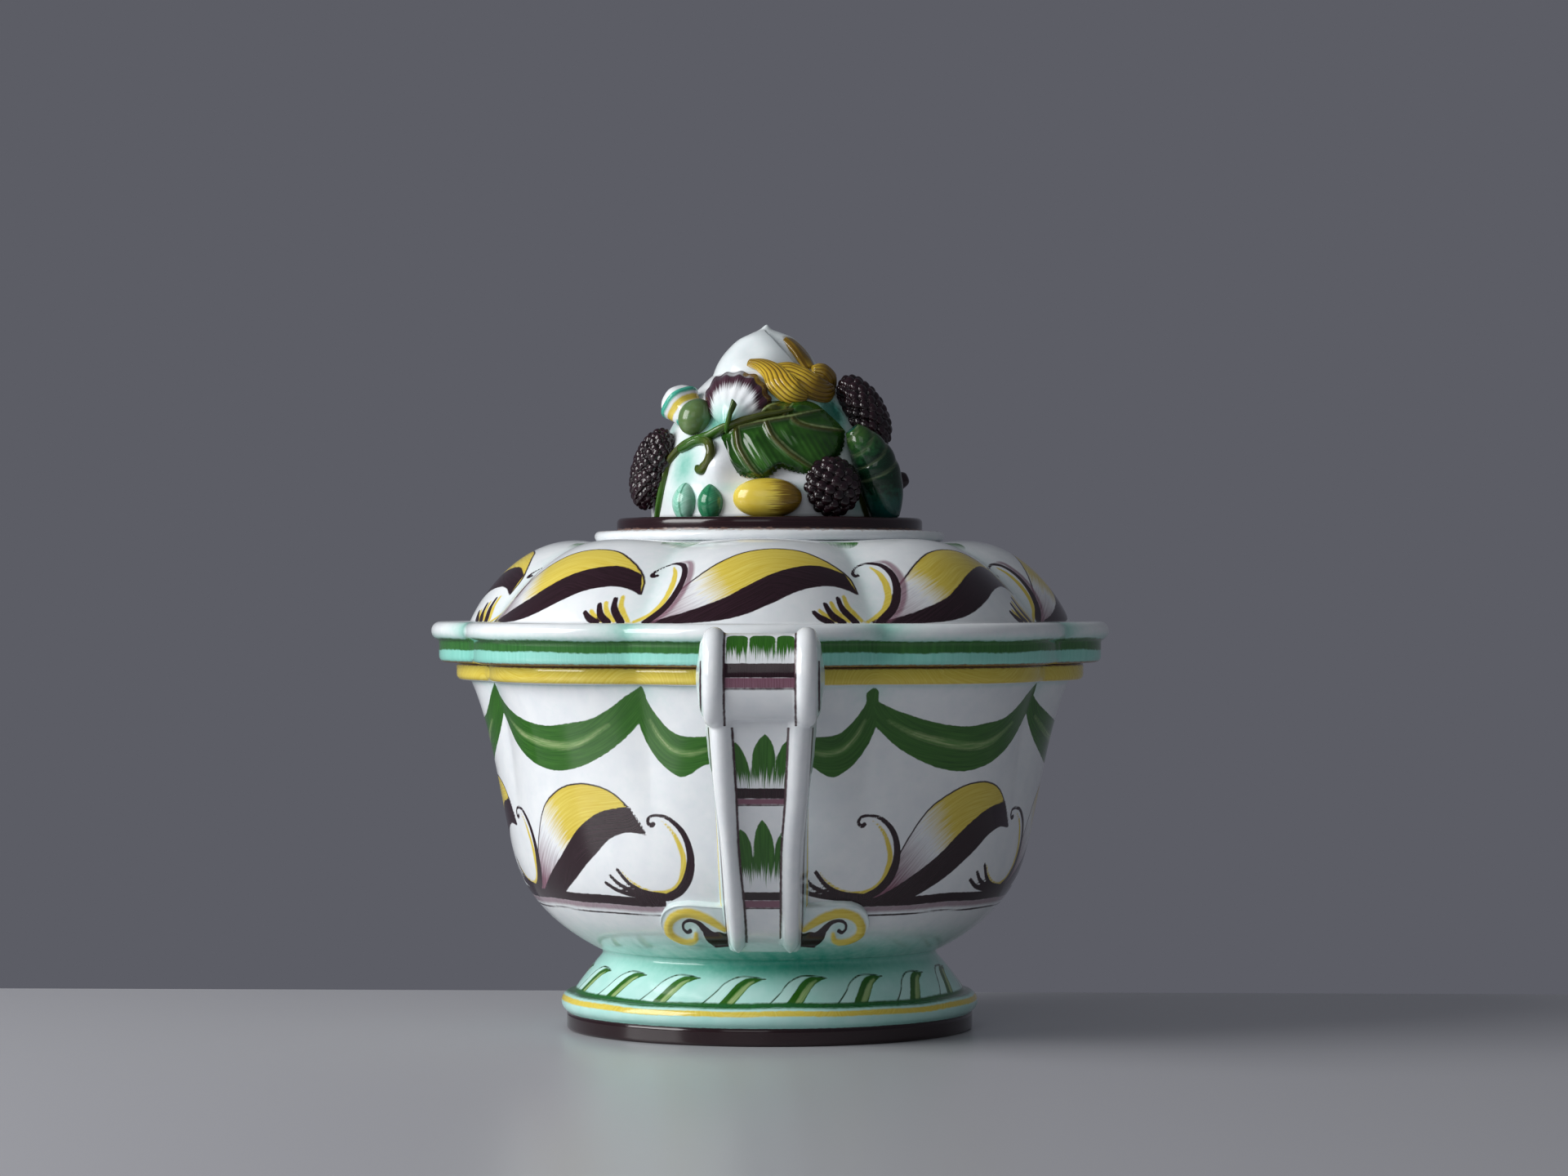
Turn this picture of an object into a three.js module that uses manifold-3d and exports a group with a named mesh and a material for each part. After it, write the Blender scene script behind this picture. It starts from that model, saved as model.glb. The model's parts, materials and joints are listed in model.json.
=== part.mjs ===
// A lobed earthenware tureen: a footed bowl with two strap handles, and a lid topped by modelled fruit.
// Millimetres, +Z up, front handle towards -Y. The origin is on the table, under the centre of the foot.
import * as THREE from 'three';
import { mergeVertices } from 'three/addons/utils/BufferGeometryUtils.js';
import Module from 'manifold-3d';

const wasm = await Module();
wasm.setup();

// Fits
const seatGap = 0.3; // between clay pieces that are luted to each other
const plateGap = 0.7; // under a thin plate, whose flat facets dip towards the mound
const lidDrop = 0.3; // between the bowl's rim and the lid's seat
const lipClearance = 2; // between the lid's locating lip and the bowl's mouth
const scrollClearance = 4.2; // between the lid's roll and the handles' scrolls
const rootClearance = 2; // between the lid's flange and the necks of the handles

// Lobes
const lobeCount = 8;
const facetsPerLobe = 6;

// Foot
const plinthRadius = 96;
const plinthHeight = 8.1;
const footRollRadius = 98.6;
const footRollHeight = 9.7;
const flareRadius = 92.5; // foot of the flare, where it leaves the roll
const footHeight = 37.7;
const neckRadius = 80.9;
const footWall = 9;
const footRimWidth = 10; // the ring that it stands on
const footEdge = 0.8; // bevel of that ring's outer edge

// Bowl
const bowlHeight = 134.7;
const shoulderRadius = 119.1; // where the round bottom turns up into the wall
const shoulderHeight = 38.7; // above the bowl's seat
const mouthRadius = 141.8; // outside, just under the band
const bandOverhang = 6.8; // of the band over the mouth
const bandHeight = 8.1;
const bowlWall = 8;
const floorThickness = 9;
const wallCusp = 6; // depth of the crease between two lobes, at the mouth
const bandCusp = 9.3;
const creaseStart = 34; // height above the seat where the creases begin
const bandRound = 2.5;
const rimRound = 0.8;

// Lid
const flangeOverhang = 8.3; // of the flange over the bowl's band
const flangeHeight = 10.5;
const rollOverhang = 3.9; // of the roll over the flange
const lidRollHeight = 8.7;
const flangeCusp = 10;
const rollLedge = 18.6; // from the roll's outside in to the dome's foot
const domeHeight = 37.3; // from the roll's top to the crown
const domeCusp = 6.7;
const crownRadius = 83;
const lidWall = 7;
const flangeRound = 2.5;
const lipDepth = 8;
const lipWidth = 5;
const lipBevel = 1;

// Finial base
const ledgeHeight = 5;
const discRadius = 72.4;
const discHeight = 6.2;
const discRound = 2;

// Finial
const moundRadius = 56;
const moundHeight = 80;
const moundFullness = 2.2; // powers of the superellipse that the mound's side follows
const moundRoundness = 1.6;
const leafLength = 58.6;
const leafArch = 7.5;
const leafUpper = 7; // widths of the blade over and under its midrib
const leafLower = 28;
const leafTooth = 1.2;
const leafThickness = 2;
const leafVein = 0.7;
const leafLean = 5; // of its lower half towards the tip
const shellRadius = 29;
const shellSwell = 8;
const shellThickness = 1.5; // at its hinge and its rim
const shellHeart = 3; // from the hinge to where the ribs begin
const shellRib = 0.9;
const bellRadius = 7.8;
const bellLength = 15;
const bloomHalf = [25, 23.5, 19];
const bloomLean = 2; // its middle stands this far to the left
const bloomSeat = 0.894; // height of its middle, as a share of the mound's
const strandWidth = 3.4;
const strandRise = 2.8;
const lowerTuftSection = [16, 10];
const upperTuftSection = [11, 7];
const podRadius = 10.5;
const figRadius = 14;
const nutHalf = [16, 9.2, 9.5];
const oliveHalf = [7.7, 9.2, 7.7];
const almondHalf = [6.4, 8.7, 5.4];
const berryShortHalf = [14, 14.5, 10.5];
const berryLongHalf = [11.5, 20, 10];

// Handles
const scrollCentreHeight = 169.2;
const scrollDepth = 30; // across the panel, towards the bowl and away from it
const scrollHeight = 38.4;
const scrollWidth = 49.5; // over the two beads
const scrollBulge = 3.3; // how far each rounded side stands past its bead
const beadWidth = 9.3;
const beadRise = 2.8; // above the sunk panel
const railWidth = 9;
const railRise = 3.4;
const strapTopWidth = 43.6;
const strapToeWidth = 31.4;
const strapBackWidth = 42;
const strapFlare = 7.2; // extra width of the strap's back where it meets the scroll
const strapThickness = 12;
const strapTopReach = 0.5; // past the scroll's axis
const toeBury = 21.1; // of the strap's foot in the bowl's shoulder
const toeHeight = 43;
const rootWidth = 42;
const rootHeight = 19;
const rootSag = 2; // of the neck's underside
const footScrollReach = 47.5; // from the handle's middle to the round end
const footScrollRadius = 9.5;
const footScrollLevel = 58;
const footScrollRise = 4; // above the bowl's wall
const handleTurn = 1.3; // degrees off the middle of the lobe, as the potter luted them on

const mouthInner = mouthRadius - bowlWall;
const bandRadius = mouthRadius + bandOverhang;
const flangeRadius = bandRadius + flangeOverhang;
const lidRollRadius = flangeRadius + rollOverhang;
const domeRadius = lidRollRadius - rollLedge;
const scrollCentreRadius = lidRollRadius + scrollClearance + scrollDepth / 2; // from the tureen's axis

const footTop = footHeight;
const bowlSeat = footTop + seatGap;
const rimLevel = bowlSeat + bowlHeight;
const lidSeat = rimLevel + lidDrop;
const rollFoot = lidSeat + flangeHeight;
const rollTop = rollFoot + lidRollHeight;
const crownLevel = rollTop + domeHeight;
const ledgeFoot = crownLevel + seatGap;
const discFoot = ledgeFoot + ledgeHeight;
const moundFoot = discFoot + discHeight + seatGap;

const lobeAngle = (2 * Math.PI) / lobeCount;
const facets = lobeCount * facetsPerLobe;
const degrees = THREE.MathUtils.degToRad;
const { lerp, smoothstep } = THREE.MathUtils;

const glazes = {
  white: { color: '#e9edee', roughness: 0.12 },
  mint: { color: '#a4e0d4', roughness: 0.12 },
  yellow: { color: '#e0c24c', roughness: 0.15 },
  maroon: { color: '#2b1a1e', roughness: 0.18 },
  green: { color: '#2c6a27', roughness: 0.18 },
  emerald: { color: '#1f9a6e', roughness: 0.15 },
};

const tureen = new THREE.Group();

// Points and curves

/** A point at a radius and height, on the side of the tureen that azimuth names: 0 is the front. */
function around(radius, azimuth, height) {
  return new THREE.Vector3(radius * Math.sin(azimuth), -radius * Math.cos(azimuth), height);
}

/** How far an azimuth is from its lobe's crease: 0 in the crease, 1 at the middle of the lobe. */
function lobeFullness(azimuth) {
  const offMiddle = azimuth - lobeAngle * Math.round(azimuth / lobeAngle);
  return Math.cos((offMiddle * lobeCount) / 2);
}

/** A row of points round the tureen; shape turns an azimuth into [radius, height]. */
function rowRound(shape) {
  const row = [];
  for (let i = 0; i < facets; i += 1) {
    const azimuth = (i * 2 * Math.PI) / facets;
    const [radius, height] = shape(azimuth);
    row.push(around(radius, azimuth, height));
  }
  return row;
}

/** A row that follows the lobes, drawn in by cusp at each crease. */
function lobedRow(radius, height, cusp) {
  return rowRound((azimuth) => [radius - cusp * (1 - lobeFullness(azimuth)), height]);
}

/** A cubic curve in a profile. Its two handles are given as shares of the way from start to end. */
function bend(start, end, startShare, endShare) {
  const way = [end[0] - start[0], end[1] - start[1]];
  return new THREE.CubicBezierCurve(
    new THREE.Vector2(...start),
    new THREE.Vector2(start[0] + startShare[0] * way[0], start[1] + startShare[1] * way[1]),
    new THREE.Vector2(end[0] - endShare[0] * way[0], end[1] - endShare[1] * way[1]),
    new THREE.Vector2(...end),
  );
}

/** Points [radius, height] on a rounding of a profile, in degrees from the outward direction. */
function roundOff(centre, radius, from, to, steps) {
  const points = [];
  for (let i = 0; i <= steps; i += 1) {
    const angle = degrees(lerp(from, to, i / steps));
    points.push([centre[0] + radius * Math.cos(angle), centre[1] + radius * Math.sin(angle)]);
  }
  return points;
}

// Closed skins and solids

/** Joins rows of points into a closed skin. A row of one point is a tip; other end rows get a flat cap. */
function skin(rows) {
  const points = [];
  const faces = [];
  const starts = rows.map((row) => {
    const start = points.length;
    points.push(...row);
    return start;
  });
  for (let k = 0; k + 1 < rows.length; k += 1) {
    const size = Math.max(rows[k].length, rows[k + 1].length);
    for (let i = 0; i < size; i += 1) {
      const next = (i + 1) % size;
      const here = (row, step) => starts[row] + (rows[row].length === 1 ? 0 : step);
      if (rows[k].length > 1) faces.push(here(k, i), here(k, next), here(k + 1, i));
      if (rows[k + 1].length > 1) faces.push(here(k, next), here(k + 1, next), here(k + 1, i));
    }
  }
  for (const [row, flipped] of [[0, true], [rows.length - 1, false]]) {
    const size = rows[row].length;
    if (size === 1) continue;
    const middle = points.length;
    points.push(rows[row].reduce((sum, point) => sum.add(point), new THREE.Vector3()).divideScalar(size));
    for (let i = 0; i < size; i += 1) {
      const edge = [starts[row] + i, starts[row] + ((i + 1) % size)];
      faces.push(middle, ...(flipped ? edge.reverse() : edge));
    }
  }
  const geometry = new THREE.BufferGeometry().setFromPoints(points);
  geometry.setIndex(faces);
  return geometry;
}

/** A copy of a geometry with shared vertices merged and its faces pointing out. */
function closed(geometry) {
  const weld = 1e-4; // farthest apart that two vertices count as one
  const bare = geometry.clone();
  bare.deleteAttribute('normal');
  bare.deleteAttribute('uv');
  const merged = mergeVertices(bare, weld);
  const index = Array.from(merged.index.array);
  const at = (i) => new THREE.Vector3().fromBufferAttribute(merged.attributes.position, i);
  let volume = 0;
  const faces = [];
  for (let i = 0; i < index.length; i += 3) {
    const [a, b, c] = index.slice(i, i + 3);
    if (a === b || b === c || c === a) continue;
    faces.push([a, b, c]);
    volume += at(a).dot(at(b).cross(at(c)));
  }
  merged.setIndex(faces.flatMap(([a, b, c]) => (volume < 0 ? [a, c, b] : [a, b, c])));
  return merged;
}

function solidOf(geometry) {
  const merged = closed(geometry);
  return new wasm.Manifold(new wasm.Mesh({
    numProp: 3,
    vertProperties: Float32Array.from(merged.attributes.position.array),
    triVerts: Uint32Array.from(merged.index.array),
  }));
}

function geometryOf(solid) {
  const mesh = solid.getMesh();
  const geometry = new THREE.BufferGeometry();
  geometry.setAttribute('position', new THREE.BufferAttribute(Float32Array.from(mesh.vertProperties), 3));
  geometry.setIndex(Array.from(mesh.triVerts));
  return geometry;
}

/** The biggest body of a solid, without the crumbs that a cut leaves. */
function mainBody(solid) {
  const bodies = solid.decompose();
  return bodies.reduce((best, body) => (body.volume() > best.volume() ? body : best));
}

/** A solid of the geometry with its surface moved out, for cutting a neighbour clear of it. */
function swollen(geometry, by = seatGap) {
  const merged = closed(geometry);
  merged.computeVertexNormals();
  const { position, normal } = merged.attributes;
  for (let i = 0; i < position.count; i += 1) {
    const point = new THREE.Vector3().fromBufferAttribute(position, i);
    point.addScaledVector(new THREE.Vector3().fromBufferAttribute(normal, i), by);
    position.setXYZ(i, ...point);
  }
  return solidOf(merged);
}

/** A solid of revolution, whose [radius, height] points end on the axis or close on themselves. */
function turned(profile, sides) {
  const geometry = new THREE.LatheGeometry(profile.map(([r, z]) => new THREE.Vector2(r, z)), sides);
  return geometry.rotateX(Math.PI / 2);
}

/** Moves every point of a geometry to where shape puts it. */
function modelled(geometry, shape) {
  const merged = closed(geometry);
  const { position } = merged.attributes;
  for (let i = 0; i < position.count; i += 1) {
    position.setXYZ(i, ...shape(new THREE.Vector3().fromBufferAttribute(position, i)));
  }
  return merged;
}

function addPiece(group, name, geometry, glaze) {
  const mesh = new THREE.Mesh(geometry, new THREE.MeshStandardMaterial(glazes[glaze]));
  mesh.name = name;
  mesh.geometry.computeVertexNormals();
  group.add(mesh);
}

// Foot and bowl

function footGeometry() {
  const roll = footRollHeight / 2;
  const flareFoot = plinthHeight + footRollHeight;
  const flare = bend([flareRadius, flareFoot], [neckRadius, footTop], [0.45, 0.3], [0.02, 0.5]);
  const inside = bend(
    [neckRadius - footWall, footTop],
    [plinthRadius - footRimWidth, 0],
    [0.02, 0.4],
    [0.1, 0.5],
  );
  return turned([
    [plinthRadius - footEdge, 0],
    [plinthRadius, footEdge],
    [plinthRadius, plinthHeight],
    ...roundOff([footRollRadius - roll, plinthHeight + roll], roll, -60, 70, 3),
    ...flare.getPoints(3).map((point) => point.toArray()),
    ...inside.getPoints(2).map((point) => point.toArray()),
    [plinthRadius - footEdge, 0],
  ], 32);
}

/** Half the outline of the bowl's wall, from its seat to under the band, drawn in by inset. */
function bowlOutline(inset, seat, neck, steps) {
  const shoulder = [shoulderRadius - inset, bowlSeat + shoulderHeight];
  const mouth = [mouthRadius - inset, rimLevel - bandHeight];
  const bottom = bend([neck, seat], shoulder, [0.42, 0.21], [0.16, 0.46]).getPoints(steps[0]);
  const wall = bend(shoulder, mouth, [0.28, 0.185], [0.5, 0.27]).getPoints(steps[1]);
  return [...bottom, ...wall.slice(1)].map((point) => point.toArray());
}

/** Depth of the crease between two lobes at a height of the bowl's wall. */
function wallCrease(height) {
  return wallCusp * smoothstep(height, bowlSeat + creaseStart, rimLevel - bandHeight);
}

function bowlGeometry() {
  const bandFoot = rimLevel - bandHeight;
  const floor = bowlSeat + floorThickness;
  const outside = bowlOutline(0, bowlSeat, neckRadius, [4, 5]);
  const inside = bowlOutline(bowlWall, floor, neckRadius - bowlWall - floorThickness, [3, 3]).reverse();
  const band = [
    ...roundOff([bandRadius - bandRound, bandFoot + bandRound], bandRound, -90, 0, 2),
    ...roundOff([bandRadius - rimRound, rimLevel - rimRound], rimRound, 0, 90, 1),
    [mouthInner + rimRound, rimLevel],
    [mouthInner, rimLevel - rimRound],
  ];
  return skin([
    [new THREE.Vector3(0, 0, bowlSeat)],
    ...outside.map(([radius, height]) => lobedRow(radius, height, wallCrease(height))),
    ...band.map(([radius, height]) => lobedRow(radius, height, bandCusp)),
    ...inside.map(([radius, height]) => lobedRow(radius, height, wallCrease(height))),
    [new THREE.Vector3(0, 0, floor)],
  ]);
}

// Lid

const domeFullCurve = bend([domeRadius, rollTop], [crownRadius, crownLevel], [0.14, 0.507], [0.49, -0.173]);
const domeCreaseCurve = bend(
  [domeRadius - domeCusp, rollTop],
  [crownRadius, crownLevel],
  [0.22, 0.394],
  [0.438, 0.042],
);

/** A row of the dome, share of the way up it, drawn in square to its surface by inset. */
function domeRow(share, inset) {
  const full = domeFullCurve.getPoint(share);
  const crease = domeCreaseCurve.getPoint(share);
  const fullWay = domeFullCurve.getTangent(share);
  const creaseWay = domeCreaseCurve.getTangent(share);
  return rowRound((azimuth) => {
    const fullness = lobeFullness(azimuth);
    const point = crease.clone().lerp(full, fullness);
    const way = creaseWay.clone().lerp(fullWay, fullness).normalize();
    return [point.x - inset * way.y, point.y + inset * way.x];
  });
}

function lidGeometry() {
  const outerSteps = 6;
  const innerSteps = 3;
  const roll = lidRollHeight / 2;
  const lipRadius = mouthInner - lipClearance;
  const lipFoot = lidSeat - lipDepth;
  const edge = [
    ...roundOff([lidRollRadius - roll, rollFoot + roll], roll, 90, -60, 4),
    [flangeRadius, rollFoot],
    ...roundOff([flangeRadius - flangeRound, lidSeat + flangeRound], flangeRound, 0, -90, 2),
  ];
  const lip = [
    [lipRadius, lidSeat],
    [lipRadius, lipFoot + lipBevel],
    [lipRadius - lipBevel, lipFoot],
    [lipRadius - lipWidth, lipFoot],
    [lipRadius - lipWidth, lidSeat + lipDepth / 2],
  ];
  const dome = [];
  for (let i = outerSteps; i >= 0; i -= 1) dome.push(domeRow(i / outerSteps, 0));
  const vault = [];
  for (let i = 0; i <= innerSteps; i += 1) vault.push(domeRow(lerp(0.08, 1, i / innerSteps), lidWall));
  return skin([
    [new THREE.Vector3(0, 0, crownLevel)],
    ...dome,
    ...edge.map(([radius, height]) => lobedRow(radius, height, flangeCusp)),
    ...lip.map(([radius, height]) => lobedRow(radius, height, bandCusp)),
    ...vault,
    [new THREE.Vector3(0, 0, crownLevel - lidWall)],
  ]);
}

function plinthGeometry() {
  const ledgeRound = ledgeHeight / 2;
  return turned([
    [0, ledgeFoot],
    ...roundOff([crownRadius - ledgeRound, ledgeFoot + ledgeRound], ledgeRound, -90, 90, 3),
    [discRadius, discFoot],
    ...roundOff([discRadius - discRound, discFoot + discHeight - discRound], discRound, 0, 90, 2),
    [0, discFoot + discHeight],
  ], 32);
}

// Handles, each made for the front: X is across it, and it reaches out towards -Y

/** A point of the handle's side view, at x across it. */
function handlePoint(x, reach, height) {
  return new THREE.Vector3(x, -reach, height);
}

/** The oval of the scroll's side view, grown by rise, at an angle from straight out. */
function scrollPoint(x, angle, rise) {
  const reach = scrollCentreRadius + (scrollDepth / 2 + rise) * Math.cos(angle);
  return handlePoint(x, reach, scrollCentreHeight + (scrollHeight / 2 + rise) * Math.sin(angle));
}

function scrollGeometry() {
  const half = scrollWidth / 2;
  const sides = 20;
  const stations = [
    [-half - scrollBulge, 0.35],
    [-half - 0.7 * scrollBulge, 0.75],
    [-half, 1],
    [half, 1],
    [half + 0.7 * scrollBulge, 0.75],
    [half + scrollBulge, 0.35],
  ];
  const middle = handlePoint(0, scrollCentreRadius, scrollCentreHeight);
  return skin(stations.map(([x, share]) => {
    const row = [];
    for (let i = 0; i < sides; i += 1) {
      const full = scrollPoint(0, (i * 2 * Math.PI) / sides, 0);
      row.push(middle.clone().lerp(full, share).setX(x));
    }
    return row;
  }));
}

/** The neck of clay that carries the scroll from the bowl's mouth, under the lid's flange. */
function rootGeometry() {
  const top = lidSeat - rootClearance;
  const foot = top - rootHeight;
  const side = new THREE.Shape();
  side.moveTo(mouthInner, foot);
  side.quadraticCurveTo(mouthRadius + bowlWall, foot - rootSag, scrollCentreRadius, foot);
  side.lineTo(scrollCentreRadius, top);
  side.lineTo(mouthInner, top);
  const block = new THREE.ExtrudeGeometry(side, { depth: rootWidth, bevelEnabled: false, curveSegments: 4 });
  return modelled(block, (point) => handlePoint(point.z - rootWidth / 2, point.x, point.y));
}

const strapCurve = bend(
  [scrollCentreRadius + strapTopReach, scrollCentreHeight - scrollHeight / 2 - seatGap],
  [shoulderRadius - toeBury, toeHeight],
  [0.03, 0.31],
  [0.43, 0.18],
);

/** Where the strap's front is at a share of the way down it, and its direction out of that face. */
function strapFace(share) {
  const point = strapCurve.getPoint(share);
  const way = strapCurve.getTangent(share);
  return { point, out: new THREE.Vector2(-way.y, way.x) };
}

function strapHalfWidth(share) {
  return lerp(strapTopWidth, strapToeWidth, share) / 2;
}

function strapGeometry() {
  const stations = 10;
  const rows = [];
  for (let i = 0; i <= stations; i += 1) {
    const share = i / stations;
    const { point, out } = strapFace(share);
    const back = point.clone().addScaledVector(out, -strapThickness);
    const front = strapHalfWidth(share);
    const flare = strapFlare * Math.max(0, 1 - share * 4) ** 2;
    const behind = Math.max(front, (strapBackWidth + flare) / 2);
    rows.push([
      handlePoint(-front, point.x, point.y),
      handlePoint(front, point.x, point.y),
      handlePoint(behind, back.x, back.y),
      handlePoint(-behind, back.x, back.y),
    ]);
  }
  return skin(rows);
}

/** The half-round section of a bead or rail, as [across, out] points, with full width and rise. */
function beadSection(width, rise) {
  const section = [];
  const steps = 5;
  for (let i = 0; i <= steps; i += 1) {
    const angle = Math.PI * (i / steps);
    section.push([(width / 2) * Math.cos(angle), rise * Math.sin(angle) ** 0.8]);
  }
  return section;
}

/** How full a bead is at a share of its length: it draws in to a round end over the given share. */
function roundEnd(share, over) {
  const off = Math.min(1, Math.min(share, 1 - share) / over);
  return Math.max(0.35, Math.sqrt(1 - (1 - off) ** 2));
}

function beadGeometry(side) {
  const stations = 11;
  const rows = [];
  for (let i = 0; i <= stations; i += 1) {
    const share = i / stations;
    const angle = degrees(lerp(105, -90, share));
    const full = roundEnd(share, 0.1);
    const middle = side * (scrollWidth - beadWidth) / 2;
    rows.push(beadSection(beadWidth * full, beadRise * full)
      .map(([across, out]) => scrollPoint(middle + across, angle, seatGap + out)));
  }
  return skin(rows);
}

function railGeometry(side) {
  const stations = 11;
  const rows = [];
  for (let i = 0; i <= stations; i += 1) {
    const share = lerp(0.02, 0.96, i / stations);
    const { point, out } = strapFace(share);
    const full = Math.min(1, roundEnd(i / stations, 0.08) + (i === 0 ? 0.65 : 0));
    const width = railWidth * lerp(1, strapToeWidth / strapTopWidth + 0.1, share);
    const middle = side * (strapHalfWidth(share) - width / 2);
    rows.push(beadSection(width * full, railRise * full).map(([across, rise]) => {
      const lifted = point.clone().addScaledVector(out, seatGap + rise);
      return handlePoint(middle + across, lifted.x, lifted.y);
    }));
  }
  return skin(rows);
}

/** The outline of a raised scroll beside the handle's toe, run through the bowl's wall. */
function footScrollGeometry(side) {
  const inner = strapBackWidth / 2 + seatGap;
  const centre = footScrollReach - footScrollRadius;
  const foot = footScrollLevel - footScrollRadius - 1;
  const outline = new THREE.Shape();
  outline.moveTo(inner, foot);
  outline.quadraticCurveTo((inner + centre) / 2, foot + 1, centre, footScrollLevel - footScrollRadius);
  outline.absarc(centre, footScrollLevel, footScrollRadius, degrees(-90), degrees(100), false);
  outline.quadraticCurveTo(inner + 5, footScrollLevel + footScrollRadius - 2, inner, footScrollLevel);
  const depth = shoulderRadius - neckRadius + bowlWall;
  const block = new THREE.ExtrudeGeometry(outline, { depth, bevelEnabled: false, curveSegments: 4 });
  return modelled(block, (point) => handlePoint(side * point.x, neckRadius - bowlWall + point.z, point.y));
}

function addHandle(name, turn, bowl) {
  const group = new THREE.Group();
  group.rotation.z = turn;
  tureen.add(group);
  const hands = { left: -1, right: 1 };
  const bowlHere = bowl.clone().rotateZ(-turn);
  const bowlClear = swollen(bowlHere);
  const scroll = solidOf(scrollGeometry()).add(solidOf(rootGeometry())).subtract(bowlClear);
  addPiece(group, `${name}_scroll`, geometryOf(mainBody(scroll)), 'white');
  const headClear = [scrollGeometry(), rootGeometry(), beadGeometry(hands.left), beadGeometry(hands.right)]
    .map((geometry) => swollen(geometry))
    .reduce((all, solid) => all.add(solid));
  const strap = solidOf(strapGeometry()).subtract(bowlClear).subtract(headClear);
  addPiece(group, `${name}_strap`, geometryOf(mainBody(strap)), 'white');
  for (const [hand, side] of Object.entries(hands)) {
    addPiece(group, `${name}_bead_${hand}`, closed(beadGeometry(side)), 'white');
    const rail = solidOf(railGeometry(side)).subtract(bowlClear).subtract(headClear);
    addPiece(group, `${name}_rail_${hand}`, geometryOf(mainBody(rail)), 'white');
    const slab = solidOf(footScrollGeometry(side))
      .intersect(swollen(bowlHere, seatGap + footScrollRise))
      .subtract(bowlClear);
    addPiece(group, `${name}_foot_scroll_${hand}`, geometryOf(mainBody(slab)), 'mint');
  }
}

const bowl = closed(bowlGeometry());
addPiece(tureen, 'foot', closed(footGeometry()), 'mint');
addPiece(tureen, 'bowl', bowl, 'white');
addHandle('handle_front', degrees(handleTurn), bowl);
addHandle('handle_rear', degrees(handleTurn) + Math.PI, bowl);
addPiece(tureen, 'lid_shell', closed(lidGeometry()), 'white');
addPiece(tureen, 'finial_plinth', closed(plinthGeometry()), 'maroon');

// Finial: a mound of clay with fruit, leaves and flowers pressed on it

const front = { name: 'front', view: 0, hand: 1 };
const rear = { name: 'rear', view: Math.PI, hand: -1 };

/** The mound's radius at a height above its foot. */
function moundRadiusAt(rise) {
  return moundRadius * Math.max(0, 1 - (rise / moundHeight) ** moundFullness) ** (1 / moundRoundness);
}

/** A height above the mound's foot as a share of the mound's. */
function moundRise(share) {
  return share * moundHeight;
}

/** A place on the mound: the point itself, and the directions across, up and out of its surface. */
function moundPlace(azimuth, rise) {
  const step = 0.1;
  const slope = (moundRadiusAt(rise + step) - moundRadiusAt(rise - step)) / (2 * step);
  const across = new THREE.Vector3(Math.cos(azimuth), Math.sin(azimuth), 0);
  const out = around(1, azimuth, -slope).normalize();
  const up = new THREE.Vector3().crossVectors(out, across);
  return { point: around(moundRadiusAt(rise), azimuth, moundFoot + rise), across, up, out };
}

/** A point lifted off the mound. */
function onMound(azimuth, rise, lift) {
  const { point, out } = moundPlace(azimuth, rise);
  return point.addScaledVector(out, lift);
}

/** A point lifted off the mound where a viewer of that side sees it, x to the right of the middle. */
function seenOnMound(side, x, rise, lift) {
  const share = THREE.MathUtils.clamp(x / moundRadiusAt(rise), -1, 1);
  return onMound(side.view + side.hand * Math.asin(share), rise, lift);
}

/** Sets a geometry made with X across, Y up and Z out on the mound, turned in the surface. */
function pressedOn(geometry, azimuth, rise, lift, turn = 0) {
  const { point, across, up, out } = moundPlace(azimuth, rise);
  const frame = new THREE.Matrix4().makeBasis(across, up, out);
  frame.setPosition(point.addScaledVector(out, lift));
  return closed(geometry.clone().rotateZ(turn).applyMatrix4(frame));
}

/** A half-round strand on the mound, through places of [degrees round it, share of its height]. */
function strandGeometry(side, route, stations, sizeAt) {
  const path = new THREE.SplineCurve(
    route.map(([azimuth, share]) => new THREE.Vector2(degrees(azimuth) * moundRadius, moundRise(share))),
  );
  const rows = [];
  for (let i = 0; i <= stations; i += 1) {
    const place = path.getPoint(i / stations);
    const way = path.getTangent(i / stations);
    const size = sizeAt(i / stations);
    rows.push(beadSection(strandWidth * size, strandRise * size).map(([offset, out]) => {
      const azimuth = (place.x + offset * way.y) / moundRadius;
      return onMound(side.view + side.hand * azimuth, place.y - offset * way.x, seatGap + out);
    }));
  }
  return skin(rows);
}

/** A plate that lies on the mound. Its face is at [x, rise, lift], from shares u and v of its two ways. */
function plateGeometry(side, uSteps, vSteps, place) {
  const rows = [];
  for (let i = 0; i <= uSteps; i += 1) {
    const face = [];
    const back = [];
    for (let k = 0; k <= vSteps; k += 1) {
      const [x, rise, lift] = place(i / uSteps, k / vSteps, i);
      face.push(seenOnMound(side, x, rise, plateGap + lift));
      back.unshift(seenOnMound(side, x, rise, plateGap));
    }
    rows.push([...face, ...back]);
  }
  return skin(rows);
}

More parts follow.
